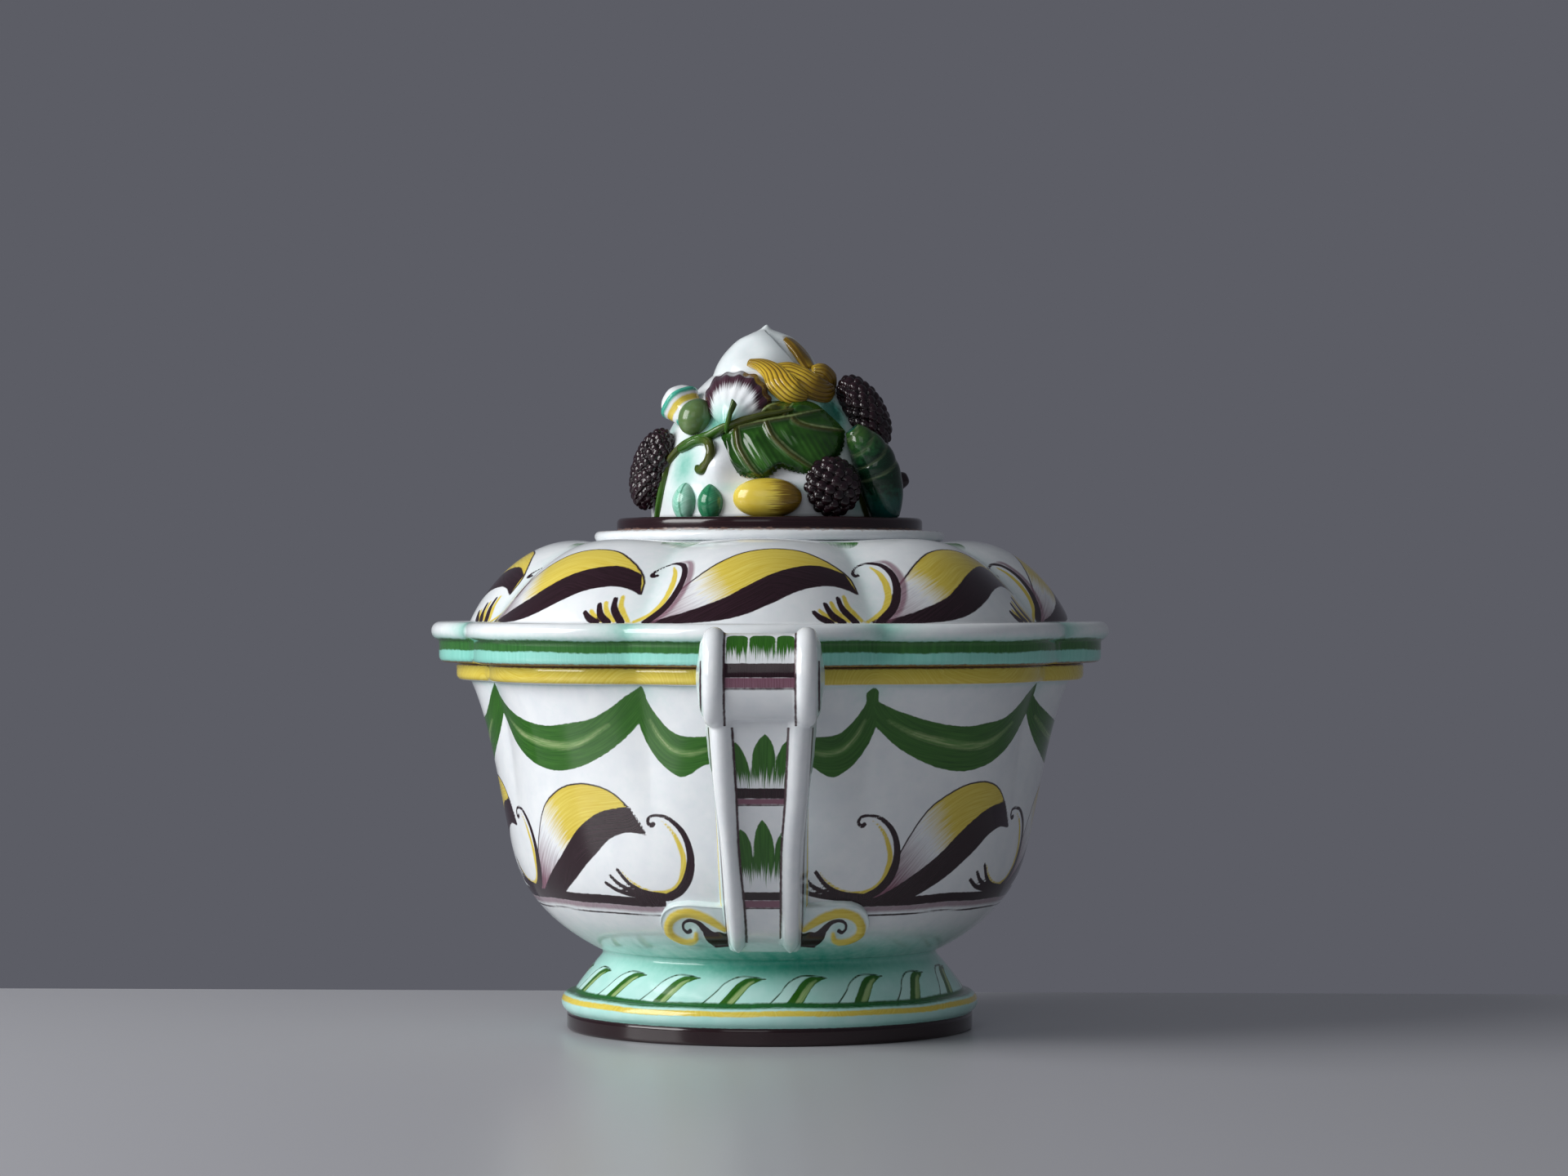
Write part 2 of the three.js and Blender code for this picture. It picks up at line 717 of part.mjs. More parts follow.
/** A tube through points, whose section at a share of its length is a ring of [across, out] offsets. */
function tubeGeometry(points, stations, sides, sectionAt) {
  const path = new THREE.CatmullRomCurve3(points);
  const heart = new THREE.Vector3(0, 0, moundFoot + moundHeight / 3);
  const rows = [];
  for (let i = 0; i <= stations; i += 1) {
    const centre = path.getPointAt(i / stations);
    const way = path.getTangentAt(i / stations);
    const across = new THREE.Vector3().crossVectors(way, centre.clone().sub(heart)).normalize();
    const out = new THREE.Vector3().crossVectors(across, way);
    const row = [];
    for (let k = 0; k < sides; k += 1) {
      const [sideways, outward] = sectionAt(i / stations, (k * 2 * Math.PI) / sides, k);
      row.push(centre.clone().addScaledVector(across, sideways).addScaledVector(out, outward));
    }
    rows.push(row);
  }
  return skin(rows);
}

function moundGeometry() {
  const rows = 7;
  const profile = [[0, moundFoot]];
  for (let i = 0; i < rows; i += 1) {
    const angle = (i / rows) * (Math.PI / 2);
    const radius = moundRadius * Math.cos(angle) ** (2 / moundRoundness);
    profile.push([radius, moundFoot + moundHeight * Math.sin(angle) ** (2 / moundFullness)]);
  }
  profile.push([0, moundFoot + moundHeight]);
  return turned(profile, 24);
}

/** A round fruit, as an ellipsoid of [across, up, out] half sizes that draws to a blunt tip upwards. */
function fruitGeometry([across, up, out], tip = 0) {
  return modelled(new THREE.SphereGeometry(1, 10, 6), (point) => {
    const draw = 1 - tip * Math.max(0, point.y) ** 2;
    return [across * point.x * draw, up * point.y, out * point.z * draw];
  });
}

/** A berry: an ellipsoid whose drupelets stand on the corners of a coarser ball. */
function berryGeometry([across, up, out]) {
  const grains = closed(new THREE.IcosahedronGeometry(1, 1)).attributes.position;
  const groove = 0.16;
  return modelled(new THREE.IcosahedronGeometry(1, 3), (point) => {
    let nearest = Infinity;
    for (let i = 0; i < grains.count; i += 1) {
      nearest = Math.min(nearest, point.angleTo(new THREE.Vector3().fromBufferAttribute(grains, i)));
    }
    const size = 1 - groove * Math.min(1, nearest / 0.3) ** 2;
    return [across * point.x * size, up * point.y * size, out * point.z * size];
  });
}

/** The broad toothed leaf, its midrib rising from the stem and dipping to the tip. */
function leafGeometry(side) {
  const [start, tip] = [-0.38 * leafLength, 0.62 * leafLength];
  const stalk = moundRise(0.49);
  return plateGeometry(side, 14, 4, (u, v, column) => {
    const midrib = stalk + leafArch * Math.sin(Math.PI * u);
    const spread = Math.sin(Math.PI * Math.min(0.985, Math.max(0.03, u)));
    const tooth = column % 2 ? leafTooth : 0;
    const across = 1 - 2 * v;
    const reach = across > 0 ? leafUpper * spread ** 0.6 : leafLower * spread ** 0.45 + tooth;
    const vein = Math.cos(2 * Math.PI * (4 * u - 0.8 * Math.abs(across)));
    const lift = leafThickness + leafVein * (vein + 1 - across ** 2) * spread;
    return [lerp(start, tip, u) + leafLean * u * Math.max(0, -across), midrib + across * reach, lift];
  });
}

/** A scallop-edged flower, its ribs fanning up from a hinge beside the stem. */
function shellFlowerGeometry(side) {
  const hinge = [-0.34 * moundRadius, moundRise(0.5)];
  const [from, fullest, until] = [-36, 20, 62];
  return plateGeometry(side, 12, 3, (u, v, column) => {
    const angle = lerp(from, until, u);
    const short = angle < fullest ? 0.4 * ((fullest - angle) / (fullest - from)) ** 1.5 : 0.2 * u ** 4;
    const raised = column % 2 ? shellRib : 0;
    const reach = lerp(shellHeart, shellRadius * (1 - short) + raised, v);
    const rounded = Math.sin(Math.PI * lerp(0.08, 0.92, u)) ** 0.5;
    const swell = shellSwell * rounded * Math.sin(Math.PI * lerp(0.15, 0.85, v)) ** 0.7;
    const turn = degrees(angle);
    return [
      hinge[0] + reach * Math.sin(turn),
      hinge[1] + reach * Math.cos(turn),
      shellThickness + swell + raised * v,
    ];
  });
}

/** A bud that widens to a flared ring, with a domed heart in it. */
function bellFlowerGeometry() {
  const profile = [
    [0, 0],
    [0.55, 0],
    [0.8, 0.3],
    [1, 0.64],
    [0.84, 0.72],
    [0.55, 0.92],
    [0, 1],
  ].map(([radius, height]) => new THREE.Vector2(radius * bellRadius, height * bellLength));
  const axis = new THREE.Vector3(-0.4, -0.1, 0.9).normalize();
  const upright = new THREE.Quaternion().setFromUnitVectors(new THREE.Vector3(0, 1, 0), axis);
  const foot = onMound(degrees(-66), moundRise(0.6), 0);
  return closed(new THREE.LatheGeometry(profile, 12).applyQuaternion(upright).translate(...foot));
}

/** A point on the bloom in a direction given by azimuth and angle from straight up, both in degrees. */
function onBloom(azimuth, fromTop, lift) {
  const [across, deep, high] = bloomHalf;
  const flat = Math.sin(degrees(fromTop));
  const way = around(flat, degrees(azimuth), Math.cos(degrees(fromTop)));
  return new THREE.Vector3(
    (across + lift) * way.x - bloomLean,
    (deep + lift) * way.y,
    moundFoot + moundHeight * bloomSeat + (high + lift) * way.z,
  );
}

/** The folded white petal that caps the mound, drawn up to a small point and widening to its foot. */
function bloomGeometry() {
  const [across, deep, high] = bloomHalf;
  const spread = 0.15;
  return modelled(new THREE.IcosahedronGeometry(1, 3), (point) => {
    const fold = 0.1 * Math.exp(-(((point.x - 0.5) / 0.16) ** 2)) * Math.max(0, point.z);
    const tip = 0.08 * Math.max(0, (point.z - 0.85) / 0.15);
    const flank = Math.hypot(point.x, point.y);
    const widened = point.z < 0 && flank > 0.05 ? (1 - spread * point.z) / flank : 1;
    const size = 1 - fold + tip;
    return [
      across * point.x * size * widened - bloomLean,
      deep * point.y * size * widened,
      moundFoot + moundHeight * bloomSeat + high * point.z * size,
    ];
  });
}

/** A tuft of silky strands: a flattened bundle with a groove between each two strands. */
function tuftGeometry(points, [width, depth], stations) {
  return tubeGeometry(points, stations, 8, (share, angle, k) => {
    const full = 0.3 + 0.7 * Math.sin(Math.PI * lerp(0.08, 0.92, share)) ** 0.7;
    const strand = k % 2 ? 0.84 : 1;
    return [(width / 2) * full * strand * Math.cos(angle), (depth / 2) * full * strand * Math.sin(angle)];
  });
}

/** A ribbed green pod that curls down the mound's side. */
function podGeometry() {
  const route = [[47, 0.45], [52, 0.39], [57, 0.32], [60, 0.23], [62, 0.145], [63, 0.075]];
  const lift = 0.57 * podRadius;
  const points = route.map(([azimuth, share]) => onMound(degrees(azimuth), moundRise(share), lift));
  return tubeGeometry(points, 9, 8, (share, angle) => {
    const rib = 1 + 0.06 * Math.cos(2 * Math.PI * 4.5 * share);
    const size = podRadius * Math.sin(Math.PI * lerp(0.17, 0.85, share)) ** 0.6 * rib;
    return [size * Math.cos(angle), size * Math.sin(angle)];
  });
}

/** A fig with its short stalk standing out of the side. */
function figGeometry() {
  const stalk = new THREE.Vector3(0, 0.3, 1).normalize();
  return modelled(new THREE.IcosahedronGeometry(1, 3), (point) => {
    const size = 1 + 0.34 * Math.exp(-((point.angleTo(stalk) / 0.26) ** 4));
    return point.multiplyScalar(figRadius * size).toArray();
  });
}

/** The fruit and flowers that both broad sides carry, in the order they were pressed on. */
function sidePieces(side) {
  const stemRoute = [
    [-65, 0.03],
    [-60, 0.2],
    [-58, 0.34],
    [-50, 0.4],
    [-40, 0.45],
    [-33, 0.457],
    [-27, 0.475],
  ];
  const press = (geometry, azimuth, share, lift, turn = 0) => (
    pressedOn(geometry, side.view + side.hand * degrees(azimuth), moundRise(share), lift, turn)
  );
  return [
    ['leaf', leafGeometry(side), 'green'],
    ['stem', strandGeometry(side, stemRoute, 11, () => 1), 'green'],
    ['shell_flower', shellFlowerGeometry(side), 'white'],
    ['nut', press(fruitGeometry(nutHalf), 1.6, 0.107, 0.5), 'yellow'],
    ['olive', press(fruitGeometry(oliveHalf, 0.2), -43, 0.565, 3.5, -0.15), 'green'],
    ['almond_outer', press(fruitGeometry(almondHalf, 0.35), -42, 0.09, 0.5), 'emerald'],
    ['almond_inner', press(fruitGeometry(almondHalf, 0.35), -26.6, 0.085, 0.5), 'emerald'],
    ['berry', press(berryGeometry(berryShortHalf), 33, 0.172, 2), 'maroon'],
  ];
}

/** The pieces that stand once, on the top and on the two ends. */
function singlePieces() {
  const tendrilRoute = [
    [-43, 0.43],
    [-37, 0.455],
    [-31.6, 0.444],
    [-27.6, 0.4],
    [-27, 0.33],
    [-29.2, 0.275],
    [-34, 0.265],
  ];
  const twigRoute = [[-21, 0.525], [-18.2, 0.56], [-16, 0.6], [-14.5, 0.63]];
  const lowerTuft = [
    [-0.14, 0.905, 1],
    [0, 0.875, 3],
    [0.14, 0.82, 4.5],
    [0.27, 0.765, 5],
    [0.39, 0.745, 4],
    [0.52, 0.75, 2],
  ].map(([x, share, lift]) => seenOnMound(front, x * moundRadius, moundRise(share), lift));
  const upperTuft = [[32, 30, 0], [48, 48, 0.5], [57, 70, 1], [61, 88, 2.5], [63, 101, 5]]
    .map(([azimuth, fromTop, lift]) => onBloom(azimuth, fromTop, lift));
  return [
    ['tendril_front', strandGeometry(front, tendrilRoute, 10, (share) => 1 + 0.5 * share ** 3), 'green'],
    ['twig_front', strandGeometry(front, twigRoute, 6, (share) => 0.85 - 0.25 * share), 'green'],
    ['tuft_lower', tuftGeometry(lowerTuft, lowerTuftSection, 9), 'yellow'],
    ['tuft_upper', tuftGeometry(upperTuft, upperTuftSection, 7), 'yellow'],
    ['bloom', bloomGeometry(), 'white'],
    ['pod_right', podGeometry(), 'green'],
    ['fig_right', pressedOn(figGeometry(), degrees(92), figRadius, -figRadius / 2), 'maroon'],
    ['bell_flower_left', bellFlowerGeometry(), 'mint'],
    ['berry_left', pressedOn(berryGeometry(berryLongHalf), degrees(-72), moundRise(0.28), 3), 'maroon'],
    ['berry_right', pressedOn(berryGeometry(berryLongHalf), degrees(68), moundRise(0.59), 5), 'maroon'],
  ];
}

/** Presses the pieces on the mound in turn, each cut clear of the mound and of those already there. */
function addFinial() {
  const mound = closed(moundGeometry());
  addPiece(tureen, 'finial_mound', mound, 'white');
  const ground = swollen(mound);
  const room = 4 * moundRadius;
  const aboveFoot = solidOf(new THREE.BoxGeometry(room, room, room).translate(0, 0, moundFoot + room / 2));
  const settled = [];
  const pieces = [
    ...sidePieces(front).map(([name, ...rest]) => [`${name}_front`, ...rest]),
    ...sidePieces(rear).map(([name, ...rest]) => [`${name}_rear`, ...rest]),
    ...singlePieces(),
  ];
  const laid = ['leaf', 'stem', 'tendril', 'twig', 'shell']; // these follow the mound by themselves
  const rank = [...laid, 'tuft', 'bloom', 'olive', 'nut', 'almond'];
  const rankOf = ([name]) => {
    const place = rank.findIndex((word) => name.startsWith(word));
    return place < 0 ? rank.length : place;
  };
  pieces.sort((a, b) => rankOf(a) - rankOf(b));
  for (const [name, geometry, glaze] of pieces) {
    geometry.computeBoundingBox();
    let solid = solidOf(geometry);
    if (!laid.some((word) => name.startsWith(word))) solid = solid.subtract(ground);
    if (geometry.boundingBox.min.z < moundFoot) solid = solid.intersect(aboveFoot);
    for (const other of settled) {
      if (other.box.intersectsBox(geometry.boundingBox)) solid = solid.subtract(other.clear);
    }
    settled.push({ box: geometry.boundingBox, clear: swollen(geometry) });
    addPiece(tureen, `finial_${name}`, geometryOf(mainBody(solid)), glaze);
  }
}

addFinial();

export default tureen;
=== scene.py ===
# A lobed tin-glazed earthenware tureen with painted ornament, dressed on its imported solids.
# Lengths are in millimetres until a mesh is made. Azimuth 0 is the front, towards -Y, and grows towards +X.
import json
import math
from typing import NamedTuple

import bmesh
import bpy
import numpy as np
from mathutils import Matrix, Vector

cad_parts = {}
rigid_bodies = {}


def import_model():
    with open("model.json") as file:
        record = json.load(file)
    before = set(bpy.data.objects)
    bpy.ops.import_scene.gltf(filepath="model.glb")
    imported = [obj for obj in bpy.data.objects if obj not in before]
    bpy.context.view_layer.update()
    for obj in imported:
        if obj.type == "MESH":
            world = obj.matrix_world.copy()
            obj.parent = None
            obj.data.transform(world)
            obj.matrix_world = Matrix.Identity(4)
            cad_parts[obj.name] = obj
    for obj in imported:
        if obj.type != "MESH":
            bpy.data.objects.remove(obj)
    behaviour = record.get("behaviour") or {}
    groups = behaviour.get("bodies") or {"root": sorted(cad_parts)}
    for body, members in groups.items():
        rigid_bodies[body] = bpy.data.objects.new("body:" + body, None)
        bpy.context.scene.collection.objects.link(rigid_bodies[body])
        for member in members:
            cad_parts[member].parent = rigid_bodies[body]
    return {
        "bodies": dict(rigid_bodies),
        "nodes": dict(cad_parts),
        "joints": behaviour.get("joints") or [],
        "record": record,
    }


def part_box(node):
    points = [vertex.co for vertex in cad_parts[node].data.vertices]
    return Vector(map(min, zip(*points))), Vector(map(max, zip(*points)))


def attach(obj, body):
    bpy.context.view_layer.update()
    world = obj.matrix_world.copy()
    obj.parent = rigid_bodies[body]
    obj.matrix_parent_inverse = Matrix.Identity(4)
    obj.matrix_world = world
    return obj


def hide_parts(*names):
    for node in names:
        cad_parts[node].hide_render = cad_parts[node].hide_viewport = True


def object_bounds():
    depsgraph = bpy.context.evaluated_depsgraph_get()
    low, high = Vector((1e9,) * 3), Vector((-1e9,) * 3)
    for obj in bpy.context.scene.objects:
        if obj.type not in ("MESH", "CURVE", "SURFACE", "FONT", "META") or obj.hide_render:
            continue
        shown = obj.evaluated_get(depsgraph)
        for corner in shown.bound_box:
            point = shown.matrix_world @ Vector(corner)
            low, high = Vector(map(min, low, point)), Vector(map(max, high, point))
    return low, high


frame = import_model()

cad_low, cad_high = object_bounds()
rng = np.random.default_rng(7)

MM = 0.001
FAR = 50.0  # a paint field's value where there is no paint near
FINE, COARSE = 720, 180  # columns round the outside and the inside of a thrown piece


def low(node):
    return np.array(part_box(node)[0]) / MM


def high(node):
    return np.array(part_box(node)[1]) / MM


# Sizes, the same as the solids have
SEAM = 0.3  # between a piece and the one that it rests on
LOBES = 8
LOBE = 2 * math.pi / LOBES
CREASE_SOFTNESS = 0.07
PLINTH_RADIUS, PLINTH_HEIGHT = 96.0, 8.1
FOOT_ROLL_RADIUS, FOOT_ROLL_HEIGHT = 98.6, 9.7
FLARE_RADIUS = 92.5
FOOT_TOP = high("foot")[2]
NECK_RADIUS = 80.9
BOWL_SEAT = low("bowl")[2]
RIM = high("bowl")[2]
SHOULDER_RADIUS, SHOULDER_HEIGHT = 119.1, 38.7
MOUTH_RADIUS, BAND_RADIUS, BAND_HEIGHT = 141.8, 148.6, 8.1
BOWL_WALL, RIM_WIDTH, FLOOR = 8.0, 14.6, 9.0
WALL_CUSP, BAND_CUSP, CREASE_START = 6.0, 9.3, 34.0
LID_SEAT = RIM + SEAM
FLANGE_RADIUS, FLANGE_HEIGHT, FLANGE_CUSP = 156.9, 10.5, 10.0
ROLL_RADIUS, ROLL_HEIGHT = high("lid_shell")[0] - 0.02, 8.7
ROLL_FOOT = LID_SEAT + FLANGE_HEIGHT
ROLL_TOP = ROLL_FOOT + ROLL_HEIGHT
LEDGE_FOOT, LEDGE_HEIGHT = low("finial_plinth")[2], 5.0
CROWN = LEDGE_FOOT - SEAM
CROWN_RADIUS, DOME_RADIUS, DOME_CUSP = 83.0, 142.2, 6.7
LID_WALL, LIP_DEPTH, LIP_WIDTH, LIP_CLEARANCE = 7.0, 8.0, 5.0, 2.0
DISC_RADIUS = 72.4
DISC_TOP = high("finial_plinth")[2]


# Curves

def bend(start, end, start_share, end_share, steps=60):
    """Points of a cubic curve in a profile. Its two handles are shares of the way from start to end."""
    start, end = np.array(start, float), np.array(end, float)
    first = start + np.array(start_share) * (end - start)
    second = end - np.array(end_share) * (end - start)
    t = np.linspace(0, 1, steps)[:, None]
    return (1 - t) ** 3 * start + 3 * (1 - t) ** 2 * t * first + 3 * (1 - t) * t * t * second + t**3 * end


def arc(centre, radius, start, stop, steps=10):
    """Points on a round of a profile, in degrees from the outward direction."""
    angles = np.radians(np.linspace(start, stop, steps))
    return np.stack([centre[0] + radius * np.cos(angles), centre[1] + radius * np.sin(angles)], 1)


def smooth(points, steps=8):
    """A smooth curve through points, as many to each stretch as steps says."""
    points = np.array(points, float)
    ends = np.vstack([2 * points[0] - points[1], points, 2 * points[-1] - points[-2]])
    t = np.linspace(0, 1, steps, endpoint=False)[:, None]
    parts = []
    for a, b, c, d in zip(ends, ends[1:], ends[2:], ends[3:]):
        square, cube = 2 * a - 5 * b + 4 * c - d, 3 * b - a - 3 * c + d
        parts.append(0.5 * (2 * b + (c - a) * t + square * t**2 + cube * t**3))
    return np.vstack([*parts, points[-1:]])


def lengths(points):
    """How far along a line each of its points lies."""
    return np.concatenate([[0], np.cumsum(np.linalg.norm(np.diff(points, axis=0), axis=1))])


def spaced(points, spacing):
    """The same line with points evenly spaced along it."""
    along = lengths(points)
    places = np.linspace(0, along[-1], max(2, int(round(along[-1] / spacing)) + 1))
    return np.stack([np.interp(places, along, column) for column in points.T], 1)


def smoothstep(x, low_edge, high_edge):
    """0 below the low edge, 1 above the high one, and an even curve between."""
    t = np.clip((x - low_edge) / (high_edge - low_edge), 0, 1)
    return t * t * (3 - 2 * t)


def blot(x, y, place, size):
    """1 at a place, falling off softly over a size in x and in y."""
    return np.exp(-(((x - place[0]) / size[0]) ** 2 + ((y - place[1]) / size[1]) ** 2))


def between(share, values):
    """The value at a share of the way through evenly spaced ones."""
    return np.interp(share, np.linspace(0, 1, len(values)), values)


def unit(ways):
    """The same directions with a length of 1."""
    return ways / np.linalg.norm(ways, axis=-1, keepdims=True)


# Lobes

def lobe_fullness(azimuth):
    """0 in a crease and 1 at the middle of a lobe, with the crease's bottom rounded a little."""
    off = azimuth - LOBE * np.round(azimuth / LOBE)
    bare = np.cos(off * LOBES / 2)
    return np.sqrt(bare**2 * (1 - CREASE_SOFTNESS**2) + CREASE_SOFTNESS**2)


def azimuths(count):
    return np.arange(count) * 2 * math.pi / count


def around(radius, azimuth, height):
    """Points from radius, azimuth and height."""
    radius, azimuth, height = np.broadcast_arrays(radius, azimuth, height)
    return np.stack([radius * np.sin(azimuth), -radius * np.cos(azimuth), height], -1).astype(float)


def lobed_rings(profile, cusp, columns):
    """Rings that follow the lobes; cusp is a number or one for each point of the profile."""
    azimuth = azimuths(columns)
    cusps = np.broadcast_to(cusp, len(profile))
    return [around(r - c * (1 - lobe_fullness(azimuth)), azimuth, z) for (r, z), c in zip(profile, cusps)]


# Meshes

def closed_mesh(name, points, faces):
    """A mesh from points in millimetres, with its faces turned outwards."""
    mesh = bpy.data.meshes.new(name)
    mesh.from_pydata((np.asarray(points) * MM).tolist(), [], faces)
    mesh.update()
    bulk = bmesh.new()
    bulk.from_mesh(mesh)
    if bulk.calc_volume(signed=True) < 0:
        mesh.flip_normals()
    bulk.free()
    return mesh


def make_mesh(name, points, faces, body, *nodes):
    """A smooth-shaded piece. It rides on body and stands for the CAD nodes."""
    return dress(bpy.data.objects.new(name, closed_mesh(name, points, faces)), body, *nodes)


def dress(piece, body, *nodes):
    """Puts a piece in the scene, riding on body, in place of the CAD nodes."""
    bpy.context.scene.collection.objects.link(piece)
    piece.data.shade_smooth()
    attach(piece, body)
    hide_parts(*nodes)
    return piece


def skin_faces(rings):
    """Faces of a closed skin over rings, each with as many points as the one before, or with a fraction."""
    faces = []
    starts = np.concatenate([[0], np.cumsum([len(ring) for ring in rings])]).tolist()
    for here, there, ring, following in zip(starts, starts[1:], rings, rings[1:]):
        count, fewer = len(ring), len(following)
        if count == fewer:
            i = np.arange(count)
            j = (i + 1) % count
            faces += np.stack([here + i, here + j, there + j, there + i], 1).tolist()
            continue
        step = count // fewer
        for i in range(fewer):
            fine = [here + (i * step + s) % count for s in range(step + 1)]
            faces.append([*fine, there + (i + 1) % fewer, there + i])
    bottom, top = starts[-1], starts[-1] + 1
    for count, start, pole in ((len(rings[0]), 0, bottom), (len(rings[-1]), starts[-2], top)):
        for i in range(count):
            a, b = start + i, start + (i + 1) % count
            faces.append([b, a, pole] if pole == bottom else [a, b, pole])
    return faces


def skin_points(rings):
    return np.vstack([*rings, rings[0].mean(0), rings[-1].mean(0)])


def skin(name, rings, body, *nodes):
    """A closed piece over its rings, as make_mesh has it."""
    return make_mesh(name, skin_points(rings), skin_faces(rings), body, *nodes)


def points_of(piece):
    """A piece's points in millimetres."""
    flat = np.zeros(len(piece.data.vertices) * 3)
    piece.data.vertices.foreach_get("co", flat)
    return flat.reshape(-1, 3) / MM


def round_places(points):
    """The azimuth, radius and height of points."""
    return np.arctan2(points[:, 0], -points[:, 1]), np.hypot(points[:, 0], points[:, 1]), points[:, 2]


def store(piece, **fields):
    """Keeps a number or a vector for each point of a piece, for its material to read."""
    for name, values in fields.items():
        vector = np.ndim(values) == 2
        attribute = piece.data.attributes.new(name, "FLOAT_VECTOR" if vector else "FLOAT", "POINT")
        attribute.data.foreach_set("vector" if vector else "value", np.ravel(values).astype(np.float32))


def glaze_with(piece, material):
    """Gives a piece its glaze."""
    piece.data.materials.append(material)


# Brushwork: signed distances in millimetres on an unrolled wall, negative where the paint is

def nearest_on(x, y, path):
    """For each place: its distance to a path, how far along that is, and on which side."""
    along = lengths(path)
    best = np.full(len(x), np.inf)
    where = np.zeros(len(x))
    side = np.ones(len(x))
    for (ax, ay), (bx, by), start in zip(path, path[1:], along):
        way = np.array([bx - ax, by - ay])
        length = math.hypot(*way)
        if length < 1e-9:
            continue
        share = np.clip(((x - ax) * way[0] + (y - ay) * way[1]) / length**2, 0, 1)
        gap = np.hypot(x - ax - share * way[0], y - ay - share * way[1])
        closer = gap < best
        best = np.where(closer, gap, best)
        where = np.where(closer, start + share * length, where)
        turn = way[0] * (y - ay) - way[1] * (x - ax)
        side = np.where(closer, np.sign(turn) + (turn == 0), side)
    return best, where, side


def area_field(x, y, outline):
    """Distance to a closed outline, negative inside."""
    closed = np.vstack([outline, outline[:1]])
    distance = nearest_on(x, y, closed)[0]
    inside = np.zeros(len(x), bool)
    for (ax, ay), (bx, by) in zip(closed, closed[1:]):
        crossing = (ay > y) != (by > y)
        if abs(by - ay) > 1e-9:
            inside ^= crossing & (x < ax + (y - ay) * (bx - ax) / (by - ay))
    return np.where(inside, -distance, distance)


def stroke_field(x, y, path, widths):
    """Distance to a brush stroke whose width changes evenly between the given ones."""
    distance, along, _ = nearest_on(x, y, path)
    return distance - between(along / lengths(path)[-1], widths) / 2


def bar_field(across, middle, half):
    """Distance to a straight band of paint, half its width to either side of its middle."""
    return np.abs(across - middle) - half


def only(where, values):
    """A paint field where it belongs, and no paint elsewhere."""
    return np.where(where, values, FAR)


class Brush:
    """Paint fields over a piece's points, worked out near each place where a motif is repeated."""

    def __init__(self, x, wrap):
        self.x, self.wrap = x, wrap
        self.fields = {}
        self.stroke = np.zeros((len(x), 3))
        self.claimed = np.full(len(x), FAR)

    def near(self, at, reach):
        """Points within reach of a place along the wall, and how far from it they are."""
        off = (self.x - at + self.wrap / 2) % self.wrap - self.wrap / 2
        chosen = np.nonzero(np.abs(off) < reach)[0]
        return chosen, off[chosen]

    def lay(self, name, chosen, values):
        field = self.fields.setdefault(name, np.full(len(self.x), FAR))
        field[chosen] = np.minimum(field[chosen], values)

    def run(self, chosen, x, y, path, claim, number):
        """Notes which way the brush ran, for the streaks of the paint."""
        distance, along, side = nearest_on(x, y, path)
        wins = claim < self.claimed[chosen]
        rows = chosen[wins]
        self.claimed[rows] = claim[wins]
        self.stroke[rows] = np.stack([along, distance * side, np.full(len(x), 40.0 * number)], 1)[wins]

    def lay_plume(self, chosen, x, y, plume, band, line, number):
        field = area_field(x, y, plume)
        self.lay("plume", chosen, field)
        self.lay("plume_band", chosen, area_field(x, y, band))
        self.run(chosen, x, y, line, field, number)

    def lay_tendril(self, chosen, x, y, dark, light, number):
        """A tendril, the first of the dark strokes, its fingers, and the yellow strokes inside it."""
        field = np.minimum.reduce([stroke_field(x, y, *stroke) for stroke in dark])
        self.lay("tendril", chosen, field)
        for stroke in light:
            self.lay("tendril_light", chosen, stroke_field(x, y, *stroke))
        self.run(chosen, x, y, dark[0][0], field, number)


# Materials

def linear(colour):
    """A hex colour as it is seen, turned into the linear light that a shader works in."""
    parts = [int(colour[i:i + 2], 16) / 255 for i in (1, 3, 5)]
    return [p / 12.92 if p <= 0.04045 else ((p + 0.055) / 1.055) ** 2.4 for p in parts] + [1.0]


def add(tree, kind, sockets=None, output=0, **settings):
    """Adds a node and gives one of its outputs. A socket gets a value, or a link from another output."""
    node = tree.nodes.new("ShaderNode" + kind)
    for key, value in settings.items():
        setattr(node, key, value)
    for key, value in (sockets or {}).items():
        if isinstance(value, bpy.types.NodeSocket):
            tree.links.new(value, node.inputs[key])
        else:
            node.inputs[key].default_value = value
    return node.outputs[output] if len(node.outputs) else None


class Coat(NamedTuple):
    """A layer of paint laid in the glaze where its field is below zero. Its lengths are in millimetres."""

    field: str
    colours: tuple  # where the brush left little paint, and where it left much
    soft: float = 0.18  # half the width over which its edge fades
    wobble: float = 0.7  # how far its edge wanders
    cover: float = 1.0  # how much it hides of what is under it
    width: float = 0.0  # above zero, a line this wide along the field's edge
    streaks: tuple = (0.3, 0.7)  # closer together, the marks of the bristles are sharper
    fade: tuple = ()  # along the stroke, where paint begins, where it is full, and how ragged it is between


